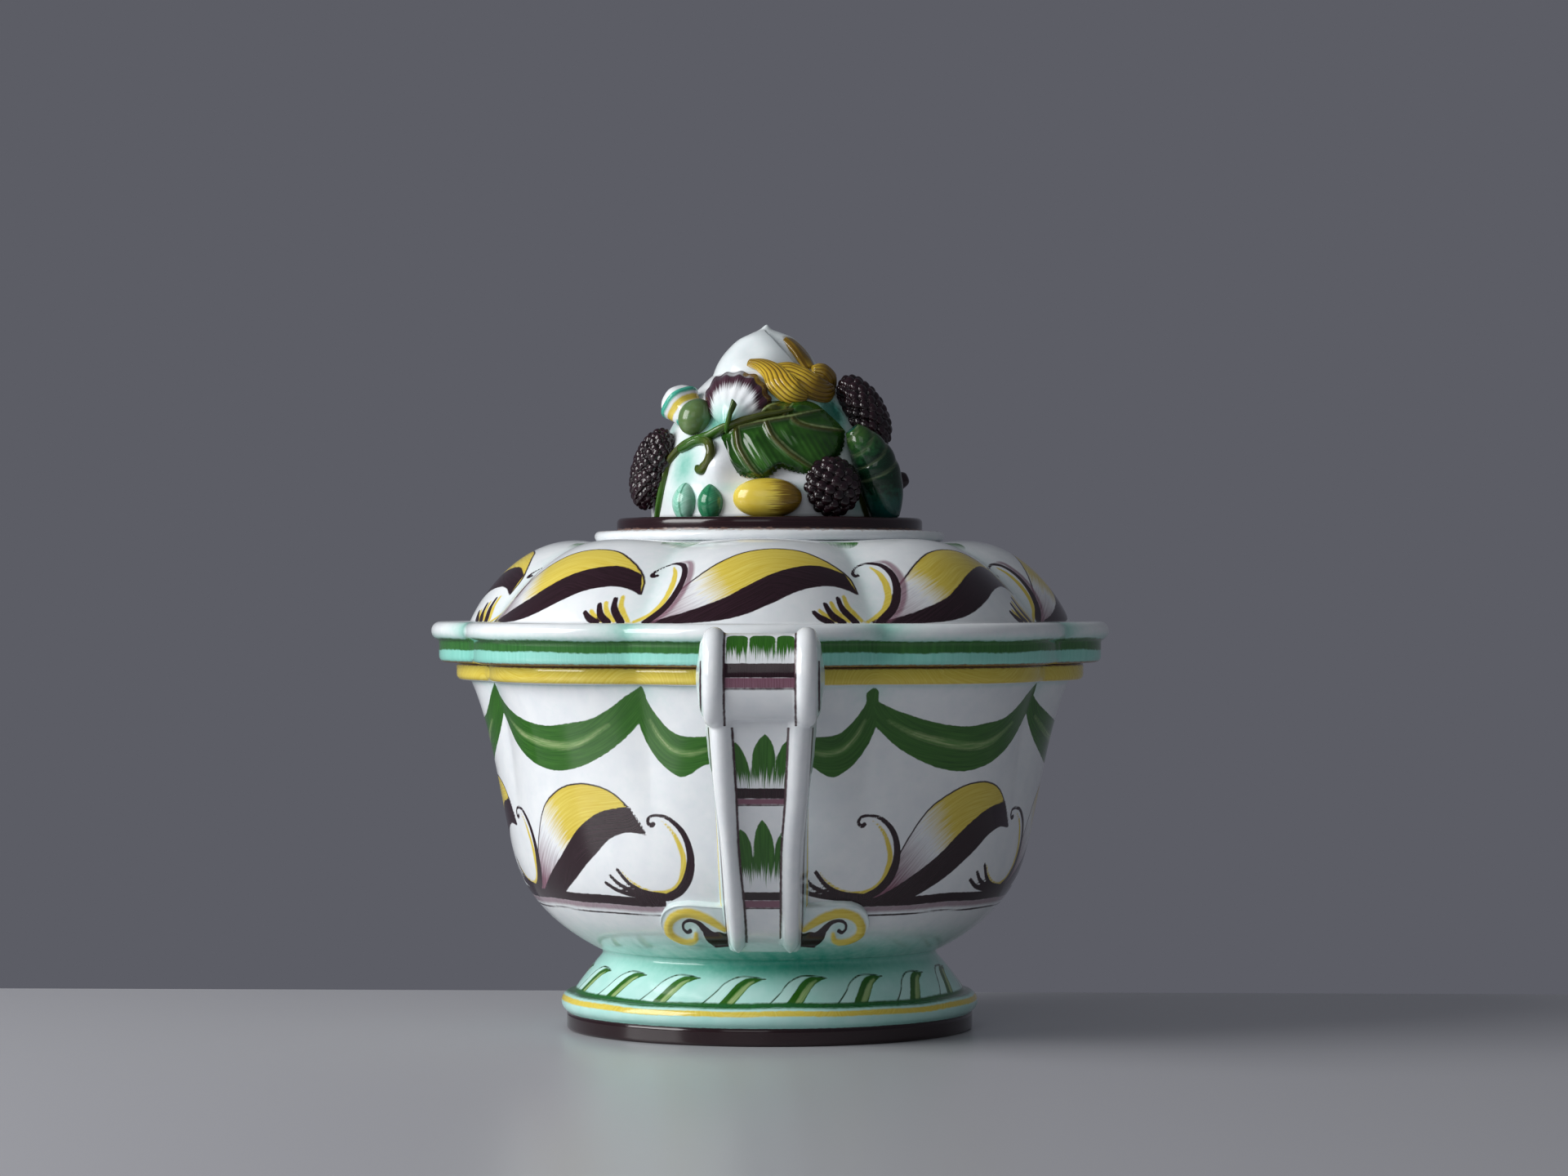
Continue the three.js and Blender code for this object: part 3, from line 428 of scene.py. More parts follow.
def glazed(name, base, coats, pooled=None, roughness=0.12, ripple=1.0):
    """Tin glaze fired to a gloss over modelled clay, with the painted coats laid in it from first to last.

    To the eye it is a deep wet gloss whose highlights waver, as the glaze is thick and a little uneven, with
    fine pits. Where it has run together it is deeper in colour, as pooled says."""
    material = bpy.data.materials.new("glazed_earthenware_" + name)
    material.use_nodes = True
    tree = material.node_tree
    tree.nodes.clear()
    place = add(tree, "TexCoord", output="Object")
    brush = add(tree, "Attribute", output="Vector", attribute_name="stroke")
    cloud = add(tree, "TexNoise", {"Vector": place, "Scale": 1 / (9 * MM), "Detail": 2.0})
    wobble = add(tree, "TexNoise", {"Vector": place, "Scale": 1 / (2.6 * MM), "Detail": 3.0})
    off_zero = add(tree, "Math", {0: wobble, 1: 0.5}, operation="SUBTRACT")
    tone = add(tree, "MapRange", {"Value": cloud, "From Min": 0.3, "From Max": 0.7})
    colour = add(tree, "Mix", {"Factor": tone, 6: linear(base[0]), 7: linear(base[1])}, 2, data_type="RGBA")
    if pooled:
        pool = add(tree, "Attribute", output="Fac", attribute_name="pool")
        deep = add(tree, "Math", {0: off_zero, 1: 0.25, 2: pool}, operation="MULTIPLY_ADD", use_clamp=True)
        thick = add(tree, "Math", {0: deep, 1: 2.2}, operation="POWER")
        for depth, tint in ((deep, pooled[0]), (thick, pooled[1])):
            colour = add(tree, "Mix", {"Factor": depth, 6: colour, 7: linear(tint)}, 2, data_type="RGBA")
    drawn_out = add(tree, "VectorMath", {0: brush, 1: (0.035, 1.0, 1.0)}, operation="MULTIPLY")
    hairs = add(tree, "TexNoise", {"Vector": drawn_out, "Scale": 1.25, "Detail": 3.0, "Roughness": 0.6})
    along = add(tree, "SeparateXYZ", {0: brush})
    for coat in coats:
        field = add(tree, "Attribute", output="Fac", attribute_name=coat.field)
        field = add(tree, "Math", {0: off_zero, 1: coat.wobble, 2: field}, operation="MULTIPLY_ADD")
        if coat.width:
            field = add(tree, "Math", {0: field}, operation="ABSOLUTE")
            field = add(tree, "Math", {0: field, 1: coat.width / 2}, operation="SUBTRACT")
        mask = add(tree, "MapRange", {"Value": field, "From Min": coat.soft, "From Max": -coat.soft})
        if coat.fade:
            start, stop, ragged = coat.fade
            torn = add(tree, "Math", {0: hairs, 1: ragged, 2: along}, operation="MULTIPLY_ADD")
            fading = add(tree, "MapRange", {
                "Value": torn, "From Min": start + ragged / 2, "From Max": stop + ragged / 2,
            })
            mask = add(tree, "Math", {0: mask, 1: fading}, operation="MULTIPLY")
        dry, wet = coat.streaks
        load = add(tree, "MapRange", {"Value": hairs, "From Min": dry, "From Max": wet})
        little, much = (linear(c) for c in coat.colours)
        paint = add(tree, "Mix", {"Factor": load, 6: little, 7: much}, 2, data_type="RGBA")
        mask = add(tree, "Math", {0: mask, 1: coat.cover}, operation="MULTIPLY")
        colour = add(tree, "Mix", {"Factor": mask, 6: colour, 7: paint}, 2, data_type="RGBA")
    pits = add(tree, "TexVoronoi", {"Vector": place, "Scale": 1 / (7 * MM)})
    pit = add(tree, "MapRange", {"Value": pits, "From Min": 0.03, "From Max": 0.055})
    waver = add(tree, "TexNoise", {"Vector": place, "Scale": 1 / (16 * MM), "Detail": 1.0})
    height = add(tree, "Math", {0: waver, 1: 6.0 * ripple, 2: pit}, operation="MULTIPLY_ADD")
    bump = add(tree, "Bump", {"Height": height, "Strength": 0.35, "Distance": 0.06 * MM})
    shader = add(tree, "BsdfPrincipled", {
        "Base Color": colour, "Roughness": roughness, "IOR": 1.5, "Normal": bump,
    })
    add(tree, "OutputMaterial", {"Surface": shader})
    return material


WHITE = ("#e6eaee", "#eef1f3")
MINT = ("#bee7e0", "#aee0d7")
TEAL = ("#9fdccf", "#3fa68f")
GREEN = ("#215412", "#3a7122")
MAROON = ("#201115", "#321e27")
PURPLE = ("#6b4352", "#94697b")
YELLOW = ("#e5d465", "#d3b83c")


# Foot: a flared ring on a roll and a dark plinth

LEAVES, LEAF_RADIUS = 18, 90  # its painted leaves, and the radius at which they are drawn
FLARE = [
    (90.3, 21.2), (86, 27), (82.2, 31.6), (79.7, 34.6), (79.1, 36.4), (80.4, 38.2), (83, 39.6), (85.4, 40.7),
]


def foot():
    """The foot ring: plinth, roll and flare outside, and a hollow underneath."""
    roll = FOOT_ROLL_HEIGHT / 2
    outside = spaced(np.vstack([
        [[PLINTH_RADIUS - 9.5, 0.0], [PLINTH_RADIUS - 1.2, 0.0]],
        arc((PLINTH_RADIUS - 1.2, 1.2), 1.2, -90, 0, 5),
        arc((PLINTH_RADIUS - 1.0, PLINTH_HEIGHT - 1.0), 1.0, 0, 60, 4),
        arc((FOOT_ROLL_RADIUS - roll, PLINTH_HEIGHT + roll), roll, -55, 72, 16),
        smooth([(FLARE_RADIUS, PLINTH_HEIGHT + FOOT_ROLL_HEIGHT), *FLARE]),
    ]), 0.9)
    inside = bend((NECK_RADIUS - 9, FOOT_TOP), (PLINTH_RADIUS - 10, 0.6), (0.02, 0.4), (0.1, 0.5), 20)
    rings = [around(r, azimuths(FINE), z) for r, z in outside]
    rings += [around(r, azimuths(COARSE), z) for r, z in spaced(inside, 3.0)]
    points = np.vstack(rings)
    faces = skin_faces(rings)[:-FINE - COARSE]
    start = len(points) - COARSE
    step = FINE // COARSE
    for i in range(COARSE):
        under = [(i * step + s) % FINE for s in range(step, -1, -1)]
        faces.append([start + i, start + (i + 1) % COARSE, *under])
    piece = make_mesh("foot_ring", points, faces, "vessel", "foot")
    paint_foot(piece, FINE * len(outside))


def paint_foot(piece, outer_count):
    """Mint ground with a run of leaning leaves, a green line, a yellow stripe and the dark plinth."""
    azimuth, _, height = round_places(points_of(piece))
    outer = np.arange(len(height)) < outer_count
    brush = Brush(azimuth * LEAF_RADIUS, 2 * math.pi * LEAF_RADIUS)
    outline = smooth([(-12, 18.8), (-6.8, 23.6), (-2.6, 28.0), (3.5, 30.7), (10.5, 30.8), (17, 29.8)])
    green = np.vstack([
        smooth([(-4.4, 18.8), (-0.9, 23), (3.6, 28), (9, 30.4), (17.4, 29.9)]),
        smooth([(14, 29.0), (9.8, 26.9), (6.2, 23), (2.9, 18.8)]),
    ])
    pale = smooth([(0.9, 19.2), (4.4, 23.3), (8.4, 27.3), (11.4, 28.9)])
    ground = np.vstack([outline, green[:29][::-1]])
    for k in range(LEAVES):
        at = ((k + 0.5) * 2 * math.pi / LEAVES + rng.normal(0, 0.008)) * LEAF_RADIUS
        lift = rng.normal(0, 0.25)
        chosen, x = brush.near(at, 20)
        y = height[chosen] - lift
        brush.lay("leaf_line", chosen, stroke_field(x, y, outline, [0.7, 0.6, 0.6, 0.7, 0.8, 0.6]))
        area = area_field(x, y, green)
        brush.lay("leaf", chosen, area)
        brush.lay("leaf_light", chosen, stroke_field(x, y, pale, [2.2, 2.4, 2.0, 0.6]))
        brush.lay("leaf_ground", chosen, area_field(x, y, ground))
        brush.run(chosen, x, y, pale, area, k + 1)
    wander = 0.25 * np.sin(azimuth * 5 + 1) + 0.15 * np.sin(azimuth * 13)
    fields = brush.fields | {
        "green_line": bar_field(height - wander, 18.2, 1.1),
        "yellow_line": bar_field(height - wander, 14.9, 1.2),
        "plinth": height - PLINTH_HEIGHT - 0.2,
    }
    fields = {name: only(outer, values) for name, values in fields.items()}
    neck = smoothstep(height, FOOT_TOP - 14, FOOT_TOP - 2) * (0.62 + 0.36 * np.cos(2 * azimuth - 0.3))
    under = smoothstep(-height, -PLINTH_HEIGHT - 3.5, -PLINTH_HEIGHT) * 0.5
    store(piece, stroke=brush.stroke, pool=np.where(outer, np.maximum(neck, under), 0.15), **fields)
    # Pale mint glaze, teal where it gathers at the neck, over a foot dipped dark at its base
    glaze_with(piece, glazed("foot", MINT, [
        Coat("leaf_ground", ("#cdefe9", "#bfe8e0"), soft=0.8),
        Coat("leaf", GREEN),
        Coat("leaf_light", ("#a9bd84", "#7da05c"), soft=0.35),
        Coat("leaf_line", ("#2b4a2c", "#173d1c"), wobble=0.3),
        Coat("green_line", ("#2c6e34", "#1c5427"), soft=0.4),
        Coat("yellow_line", YELLOW, soft=0.3),
        Coat("plinth", ("#1d1013", "#2b191d"), wobble=0.5),
    ], TEAL))


# Bowl

def wall_profile(inset, seat, neck, steps=80):
    """The wall's line from its seat up to the rim band, drawn in by inset."""
    shoulder = (SHOULDER_RADIUS - inset, BOWL_SEAT + SHOULDER_HEIGHT)
    mouth = (MOUTH_RADIUS - inset, RIM - BAND_HEIGHT)
    bottom = bend((neck, seat), shoulder, (0.42, 0.21), (0.16, 0.46), steps)
    wall = bend(shoulder, mouth, (0.28, 0.185), (0.5, 0.27), steps)
    return np.vstack([bottom, wall[1:]])


def plume_coats(yellow_fade, purple_fade, purple_cover):
    """A plume that fades from yellow through white to purple, with its dark band and fine outline."""
    return [
        Coat("plume", YELLOW, fade=yellow_fade, soft=0.25),
        Coat("plume", PURPLE, fade=purple_fade, soft=0.25, cover=purple_cover),
        Coat("plume_band", MAROON),
        Coat("plume", MAROON, wobble=0.5, width=0.75, soft=0.22),
    ]


def wall_crease(height):
    """How deep the creases between the lobes are at a height."""
    return WALL_CUSP * smoothstep(height, BOWL_SEAT + CREASE_START, RIM - BAND_HEIGHT)


def bowl():
    """The bowl: its lobed wall and rim band outside, its lip, and its wall and floor inside."""
    band_foot = RIM - BAND_HEIGHT
    outside = spaced(wall_profile(0, BOWL_SEAT, NECK_RADIUS), 1.3)
    band = spaced(np.vstack([
        arc((BAND_RADIUS - 2.8, band_foot + 2.8), 2.8, -90, 0, 10),
        arc((BAND_RADIUS - 1.2, RIM - 1.2), 1.2, 0, 90, 6),
        [[BAND_RADIUS - RIM_WIDTH + 1.2, RIM]],
    ]), 1.2)
    lip = arc((BAND_RADIUS - RIM_WIDTH + 1.2, RIM - 1.2), 1.2, 90, 180, 5)
    neck = NECK_RADIUS - BOWL_WALL - FLOOR
    inside = spaced(wall_profile(BOWL_WALL, BOWL_SEAT + FLOOR, neck)[::-1], 3.5)[1:]
    rings = [around(60.0, azimuths(FINE), BOWL_SEAT)]
    rings += lobed_rings(outside, wall_crease(outside[:, 1]), FINE)
    rings += lobed_rings(band, BAND_CUSP, FINE)
    rings += lobed_rings(lip, BAND_CUSP, COARSE)
    rings += lobed_rings(inside, wall_crease(inside[:, 1]), COARSE)
    rings += [around(r, azimuths(COARSE), BOWL_SEAT + FLOOR) for r in (48.0, 30.0, 12.0)]
    piece = skin("bowl_body", rings, "vessel", "bowl")
    paint_bowl(piece, FINE * (1 + len(outside)), FINE * (1 + len(outside) + len(band)))


def paint_bowl(piece, wall_count, band_count):
    """Green swags from crease to crease, a plume and a tendril in each lobe, and a ground line under them."""
    azimuth, radius, height = round_places(points_of(piece))
    number = np.arange(len(height))
    wall = number < wall_count
    band_foot = RIM - BAND_HEIGHT
    brush = Brush(azimuth, 2 * math.pi)
    swag = np.vstack([
        smooth([
            (-54, 163), (-50, 158), (-38, 152.5), (-20, 147.5), (-3, 145.5), (13, 147), (25, 149), (36, 154),
            (44, 159), (54, 164.5),
        ]),
        smooth([
            (54.5, 160), (52, 152), (45, 144.5), (37, 138), (27, 132), (14, 127), (-2, 125), (-19, 128),
            (-36, 136), (-48, 146), (-53, 152), (-56, 161),
        ]),
    ])
    short_swag = np.vstack([
        smooth([
            (-53.6, 164.2), (-49.5, 156), (-45, 149.9), (-40.4, 145.2), (-36.2, 142.7), (-30.8, 141.7),
            (-23.9, 141.8), (-14, 143),
        ]),
        smooth([
            (-14, 131), (-24.1, 128.6), (-29.9, 124.8), (-35.3, 123.6), (-42, 127.5), (-47.6, 133.3),
            (-52.1, 140.4), (-54.8, 147.6), (-55.6, 155), (-56, 162),
        ]),
    ])
    short_line = smooth([(-54.5, 163), (-51, 150), (-45, 140), (-36, 133.5), (-22, 135), (-10, 137)])
    short_glint = smooth([(-49.5, 149), (-44.5, 141), (-38, 135.5), (-30, 134), (-22, 136)])
    swag_line = smooth([(-54, 160), (-44, 148), (-28, 140), (-4, 135.5), (16, 137.5), (34, 146), (52, 162)])
    glint = smooth([(-43, 148.5), (-30, 142.5), (-17, 139), (1, 136.5), (16, 138), (34, 146.5)])
    outline = smooth([
        (-40, 68), (-33, 80), (-26, 95), (-17, 108), (-5, 115.5), (6, 119), (18, 119.5), (29, 116.5),
        (37, 110), (42, 103.5), (45, 97.5),
    ])
    band = np.vstack([
        smooth([(-38, 67.5), (-28, 73), (-9, 86), (4, 97), (15, 104), (25, 108), (38, 109.5)]),
        smooth([(45, 97.5), (37, 98.5), (31, 97.5), (24, 94.5), (16, 88.5), (8, 83), (-2, 76), (-18, 67)]),
    ])
    plume = np.vstack([outline, band[44:]])
    plume_line = smooth([(-42, 60), (-28, 80), (-14, 96), (6, 108), (34, 112)])
    tendril = smooth([
        (49.5, 102.3), (48, 101.6), (46.6, 103.2), (48, 105.6), (53, 106.2), (59, 104), (64.5, 97.5),
        (66, 88), (63, 79), (57, 72.5), (50, 69),
    ])
    hollow = smooth([
        (53.5, 104), (58, 100), (61, 94), (62.3, 86.5), (59.5, 78), (54, 72.8), (46, 71), (38, 72.5),
        (31.5, 76.5), (28.5, 80.5),
    ])
    fingers = [
        [(17.5, 74.5), (24, 71), (35, 69), (48, 68.5)],
        [(21.5, 77.8), (26.5, 73.5), (36, 70), (48, 69)],
        [(26.5, 81), (31, 75), (38, 71), (50, 69)],
    ]
    dark = [(tendril, [2.2, 1.3, 1.5, 2.2, 2.8, 3.2, 3.7, 4.2, 4.0, 3.6, 3.6])]
    dark += [(smooth(finger), [1.9, 2.2, 2.6, 3.0]) for finger in fingers]
    light = [(hollow, [0.6, 1.8, 2.6, 2.8, 2.4, 1.8, 1.5, 1.5, 0.8])]
    whole_drape = swag, swag_line, glint, [0.4, 2.2, 3.2, 3.2, 2.4, 0.4]
    cut_drape = short_swag, short_line, short_glint, [0.3, 1.6, 2.2, 2.0, 0.8]
    for k in range(LOBES):
        handled = k % (LOBES // 2) == 0
        chosen, off = brush.near(k * LOBE, LOBE)
        x, y = off * radius[chosen], height[chosen]
        drape, drape_line, drape_light, light_widths = cut_drape if handled else whole_drape
        drape_x = -np.abs(x) if handled else x
        green = area_field(drape_x, y, drape)
        brush.lay("swag", chosen, green)
        brush.lay("swag_light", chosen, stroke_field(drape_x, y, drape_light, light_widths))
        brush.run(chosen, drape_x, y, drape_line, green, 3 * k)
        x = (x - rng.normal(0, 0.8)) * (1 + rng.normal(0, 0.012))
        y = y - rng.normal(0, 0.5)
        brush.lay_tendril(chosen, x, y, dark, light, 3 * k + 1)
        if not handled:
            brush.lay_plume(chosen, x, y, plume, band, plume_line, 3 * k + 2)
    fields = {name: only(wall, values) for name, values in brush.fields.items()}
    by_handle = 43 - np.abs(azimuth - math.pi * np.round(azimuth / math.pi)) * radius
    level = height - 0.35 * np.sin(azimuth * 7 + 2) - 0.2 * np.sin(azimuth * 17)
    bands = (("ground_line", 66.4, 2.1), ("ground_wash", 63.2, 1.5), ("thin_line", 60.1, 0.45))
    for name, middle, half in bands:
        fields[name] = only(wall, np.maximum(bar_field(level, middle, half), by_handle))
    on_band = ~wall & (number < band_count)
    fields["yellow_band"] = only(on_band, band_foot + 0.4 - height)
    fields["rim_brown"] = only(on_band, np.maximum(RIM - 0.9 - height, BAND_RADIUS - 14 - radius))
    # Painted shade: teal deepening over the underside towards the foot, with diagonal streaks in it
    underside_shade = smoothstep(-height, -58, -(BOWL_SEAT + 1)) * (0.6 + 0.26 * np.cos(2 * azimuth - 0.3))
    shade_streaks = 0.1 * np.clip(np.sin(azimuth * 44 + height * 0.45), 0, 1) * smoothstep(-height, -49, -44)
    crease = (1 - lobe_fullness(azimuth)) ** 4 * smoothstep(height, 150, band_foot) * 0.5
    under_band = smoothstep(height, band_foot - 3, band_foot) * 0.3
    pool = np.maximum.reduce([underside_shade + shade_streaks * underside_shade, crease, under_band])
    store(piece, stroke=brush.stroke, pool=np.where(wall, pool, 0.0), **fields)
    # Cool white glaze, teal in its creases and as painted shade, streaked, over its underside down to the
    # foot, with lively brush painting and a bare brown rim
    glaze_with(piece, glazed("bowl", WHITE, [
        Coat("ground_wash", PURPLE, soft=0.7, cover=0.75),
        Coat("thin_line", MAROON, wobble=0.3),
        *plume_coats((44, 58, 24), (44, 18, 26), 1.0),
        Coat("tendril_light", YELLOW, soft=0.3),
        Coat("tendril", MAROON, wobble=0.4),
        Coat("ground_line", MAROON, wobble=0.6),
        Coat("swag", GREEN),
        Coat("swag_light", ("#a9bd84", "#5c8a45"), soft=0.9, cover=0.85, streaks=(0.35, 0.6)),
        Coat("yellow_band", YELLOW, wobble=0.2),
        Coat("rim_brown", ("#5b3a20", "#8a5a2a"), wobble=0.9, soft=0.3),
    ], TEAL))


# Lid

DOME_BEND = (0.14, 0.507), (0.49, -0.173)  # of the line up the middle of a lobe


def dome_line(at_roll, start_share, end_share, steps):
    """A line up the dome, from the roll to the crown."""
    return bend((at_roll, ROLL_TOP), (CROWN_RADIUS, CROWN), start_share, end_share, steps)


def dome_rings(shares, inset, columns):
    """Rings of the dome from its crown down, drawn in square to the surface by inset."""
    azimuth = azimuths(columns)
    fullness = lobe_fullness(azimuth)[:, None]
    count = 400
    full = dome_line(DOME_RADIUS, *DOME_BEND, count)
    crease = dome_line(DOME_RADIUS - DOME_CUSP, (0.22, 0.394), (0.438, 0.042), count)
    rings = []
    for at in np.array(shares) * (count - 1):
        i = min(int(at), count - 2)
        part = at - i
        starts, ends = (crease[k] * (1 - fullness) + full[k] * fullness for k in (i, i + 1))
        point = starts * (1 - part) + ends * part
        way = unit(ends - starts)
        rings.append(around(point[:, 0] - inset * way[:, 1], azimuth, point[:, 1] + inset * way[:, 0]))
    return rings


def lid():
    """The lid: flange, roll and lobed dome, with the lip underneath that keeps it in place."""
    roll = ROLL_HEIGHT / 2
    lip_radius = BAND_RADIUS - RIM_WIDTH - LIP_CLEARANCE
    lip_foot = LID_SEAT - LIP_DEPTH
    edge = spaced(np.vstack([
        arc((FLANGE_RADIUS - 2.8, LID_SEAT + 2.8), 2.8, -90, 0, 8),
        [[FLANGE_RADIUS, ROLL_FOOT - 0.4]],
        arc((ROLL_RADIUS - roll, ROLL_FOOT + roll), roll, -62, 90, 18),
    ]), 1.1)
    lip = np.vstack([
        [[lip_radius - LIP_WIDTH, LID_SEAT + LIP_DEPTH / 2]],
        arc((lip_radius - LIP_WIDTH + 1, lip_foot + 1), 1, 180, 270, 4),
        arc((lip_radius - 1, lip_foot + 1), 1, 270, 360, 4),
        [[lip_radius, LID_SEAT], [lip_radius + 6, LID_SEAT], [lip_radius + 14, LID_SEAT]],
    ])
    under = [around(r, azimuths(COARSE), CROWN - LID_WALL) for r in (30.0, 60.0)]
    under += dome_rings(np.linspace(1, 0.08, 16), LID_WALL, COARSE)
    under += lobed_rings(lip, BAND_CUSP, COARSE)
    outside = lobed_rings(edge, FLANGE_CUSP, FINE) + dome_rings(np.linspace(0, 1, 62), 0, FINE)
    outside += [around(r, azimuths(FINE), CROWN) for r in (80.0, 76.0)]
    piece = skin("lid_body", [*outside[::-1], *under[::-1]], "lid", "lid_shell")
    paint_lid(piece, FINE * len(outside), FINE * len(edge))


def dome_height_along(height):
    """How far up the dome's middle line, from the roll, a height lies."""
    full = dome_line(DOME_RADIUS, *DOME_BEND, 200)
    return np.interp(height, full[:, 1], lengths(full))


def paint_lid(piece, outer_count, edge_count):
    """A long plume and a short tendril in each lobe of the dome, and bands of mint and green on the edge."""
    azimuth, radius, height = round_places(points_of(piece))
    number = np.arange(len(height))
    outside = number < outer_count
    edge = outside & (number >= outer_count - edge_count)
    up = dome_height_along(height)
    brush = Brush(azimuth, 2 * math.pi)

    def chart(pairs):
        """Places on the dome from [mm along the lobe, height] pairs."""
        pairs = np.array(pairs, float)
        return np.stack([pairs[:, 0], dome_height_along(pairs[:, 1])], 1)

    outline = smooth(chart([
        (-53, 192.6), (-44, 198.5), (-36, 206), (-27, 213), (-17, 219.5), (-6, 224), (6, 225.6), (18, 224.6),
        (28, 221), (36, 216.5), (42, 211.5), (45.5, 205),
    ]))
    band = np.vstack([
        smooth(chart([
            (-51, 192.4), (-33, 197), (-15, 203.3), (-5, 208.6), (7, 214.5), (18, 217.5), (28, 217.8),
            (39, 214.2),
        ])),
        smooth(chart([
            (45.5, 205), (38, 208), (30, 209), (19, 207), (8, 202), (-5, 196.5), (-18, 193.6), (-34, 192.4),
        ])),
    ])
    plume = np.vstack([outline, band[57:]])
    plume_line = smooth(chart([(-54, 192.5), (-33, 202), (-12, 212), (8, 219), (40, 213)]))
    tendril = smooth(chart([
        (45.4, 213.6), (44, 213.2), (42.8, 214.6), (44.5, 217.3), (50, 219), (57, 218), (62.5, 213.5),
        (64.5, 206.5), (62.5, 199), (56, 192.6),
    ]))
    hollow = smooth(chart([(51, 217.4), (55.5, 214.5), (59, 209.5), (60, 203), (57, 197), (50, 192.6)]))
    wash = smooth(chart([(52, 219.4), (59.5, 219.4), (66, 213.5), (68, 206), (66, 198.5), (60, 192.6)]))
    fingers = [smooth(chart(finger)) for finger in (
        [(25.5, 197.2), (28.5, 194.8), (33.5, 192.3)],
        [(30.5, 200.8), (33.5, 196.2), (39, 192.3)],
        [(36.2, 203.4), (38.5, 198.5), (45, 192.3)],
    )]
    dark = [(tendril, [1.9, 1.3, 1.4, 2.2, 3.0, 3.6, 4.2, 4.4, 4.4, 4.0])]
    dark += [(finger, [2.0, 3.0, 3.0]) for finger in fingers]
    light = [(hollow, [1.0, 2.8, 3.6, 3.4, 2.6, 1.6])]
    light += [(finger + [2.6, 0.8], [1.8, 2.4, 1.6]) for finger in fingers]
    tuft_level = dome_height_along(CROWN - 0.6)
    tuft_fan = smooth([0, tuft_level] + np.array([
        (-10.5, 0), (-8.5, -5.5), (-5.5, -9), (-1.5, -10.5), (2.5, -8.5), (6.5, -5), (9.5, 0),
    ]))
    tuft_line = [0, tuft_level] + np.array([(0.0, 1), (-1.5, -5), (-4.5, -12)])
    for k in range(LOBES):
        chosen, off = brush.near(k * LOBE, LOBE)
        x = (off * radius[chosen] - rng.normal(0, 0.7)) * (1 + rng.normal(0, 0.012))
        y = up[chosen] - rng.normal(0, 0.5)
        brush.lay_plume(chosen, x, y, plume, band, plume_line, 3 * k)
        brush.lay("wash", chosen, stroke_field(x, y, wash, [0.5, 3.0, 3.8, 3.6, 3.0, 1.0]))
        brush.lay_tendril(chosen, x, y, dark, light, 3 * k + 1)
        chosen, off = brush.near((k + 0.5) * LOBE, LOBE / 2)
        x, y = off * radius[chosen], up[chosen]
        fan = area_field(x, y, tuft_fan)
        brush.lay("tuft", chosen, fan)
        brush.run(chosen, x * (1 + 0.02 * (tuft_level - y)), y, tuft_line, fan, 3 * k + 2)
    fields = {name: only(outside & ~edge, values) for name, values in brush.fields.items()}
    level = height - ROLL_FOOT - 0.3 * np.sin(azimuth * 6 + 1) - 0.2 * np.sin(azimuth * 19 + 2)
    fields["green_band"] = only(edge, bar_field(level, -1.6, 2.7))
    fields["mint_band"] = only(edge, level + 3.9)
    fields["seam"] = only(edge, height - LID_SEAT - 0.9)
    crease = 1 - lobe_fullness(azimuth)
    roll_under = smoothstep(-height, -(ROLL_FOOT + 5.5), -(ROLL_FOOT - 0.5)) * 0.65
    pool = np.where(edge, np.maximum(roll_under, crease**3 * 0.8), crease**5 * 0.25)
    skirt = edge & (height < ROLL_FOOT - 4)
    pool = np.where(skirt, 0.38 + 0.15 * np.sin(azimuth * 4) + crease**3 * 0.3, pool)
    store(piece, stroke=brush.stroke, pool=np.where(outside, pool, 0.0), **fields)
    # White glaze that turns mint where it gathers under the roll and in the creases, with long loaded strokes
    glaze_with(piece, glazed("lid", WHITE, [
        *plume_coats((32, 46, 24), (34, 8, 24), 0.9),
        Coat("wash", PURPLE, soft=0.8, cover=0.8),
        Coat("tendril_light", YELLOW, soft=0.3),
        Coat("tendril", MAROON, wobble=0.4),
        Coat("tuft", ("#2c6e34", "#6f9a63"), soft=0.25, fade=(9, 2, 8), streaks=(0.4, 0.6)),
        Coat("mint_band", ("#8fd9cb", "#7accbb"), soft=0.4, cover=0.85),
        Coat("green_band", ("#2a5c2b", "#3f7a3a"), wobble=1.2, soft=0.35, streaks=(0.25, 0.8)),
        Coat("seam", ("#6d4a2c", "#99702f"), wobble=0.9, soft=0.3),
    ], TEAL))


def plinth():
    """The white ledge and the dark disc that the modelled fruit stands on."""
    ledge = LEDGE_HEIGHT / 2
    level = LEDGE_FOOT + LEDGE_HEIGHT
    profile = spaced(np.vstack([
        [[40.0, LEDGE_FOOT], [70.0, LEDGE_FOOT]],
        arc((CROWN_RADIUS - ledge, LEDGE_FOOT + ledge), ledge, -90, 90, 14),
        [[DISC_RADIUS + 0.6, level]],
        arc((DISC_RADIUS - 0.8, level + 1.0), 0.8, -60, 0, 4),
        arc((DISC_RADIUS - 2.2, DISC_TOP - 2.2), 2.2, 0, 90, 8),
        [[30.0, DISC_TOP]],
    ]), 0.9)
    rings = [around(r, azimuths(360), z) for r, z in profile]
    piece = skin("finial_base", rings, "lid", "finial_plinth")
    points = points_of(piece)
    height = points[:, 2]
    store(piece, disc=level + 0.35 - height, edge=bar_field(height, level + 0.3, 0.5), pool=0 * height,
          stroke=points * [0.05, 0.05, 3.0])
    # A dark aubergine disc that mirrors the fruit, with a line of bare clay where it meets the white ledge
    glaze_with(piece, glazed("plinth", WHITE, [
        Coat("disc", ("#1f1114", "#2e1a1f"), wobble=0.6),
        Coat("edge", ("#7a5648", "#a98d80"), wobble=2.4, soft=0.3, cover=0.55),
    ], TEAL))


# Handles: each is rolled, luted and smoothed by hand, so its parts are fused into one soft-edged body

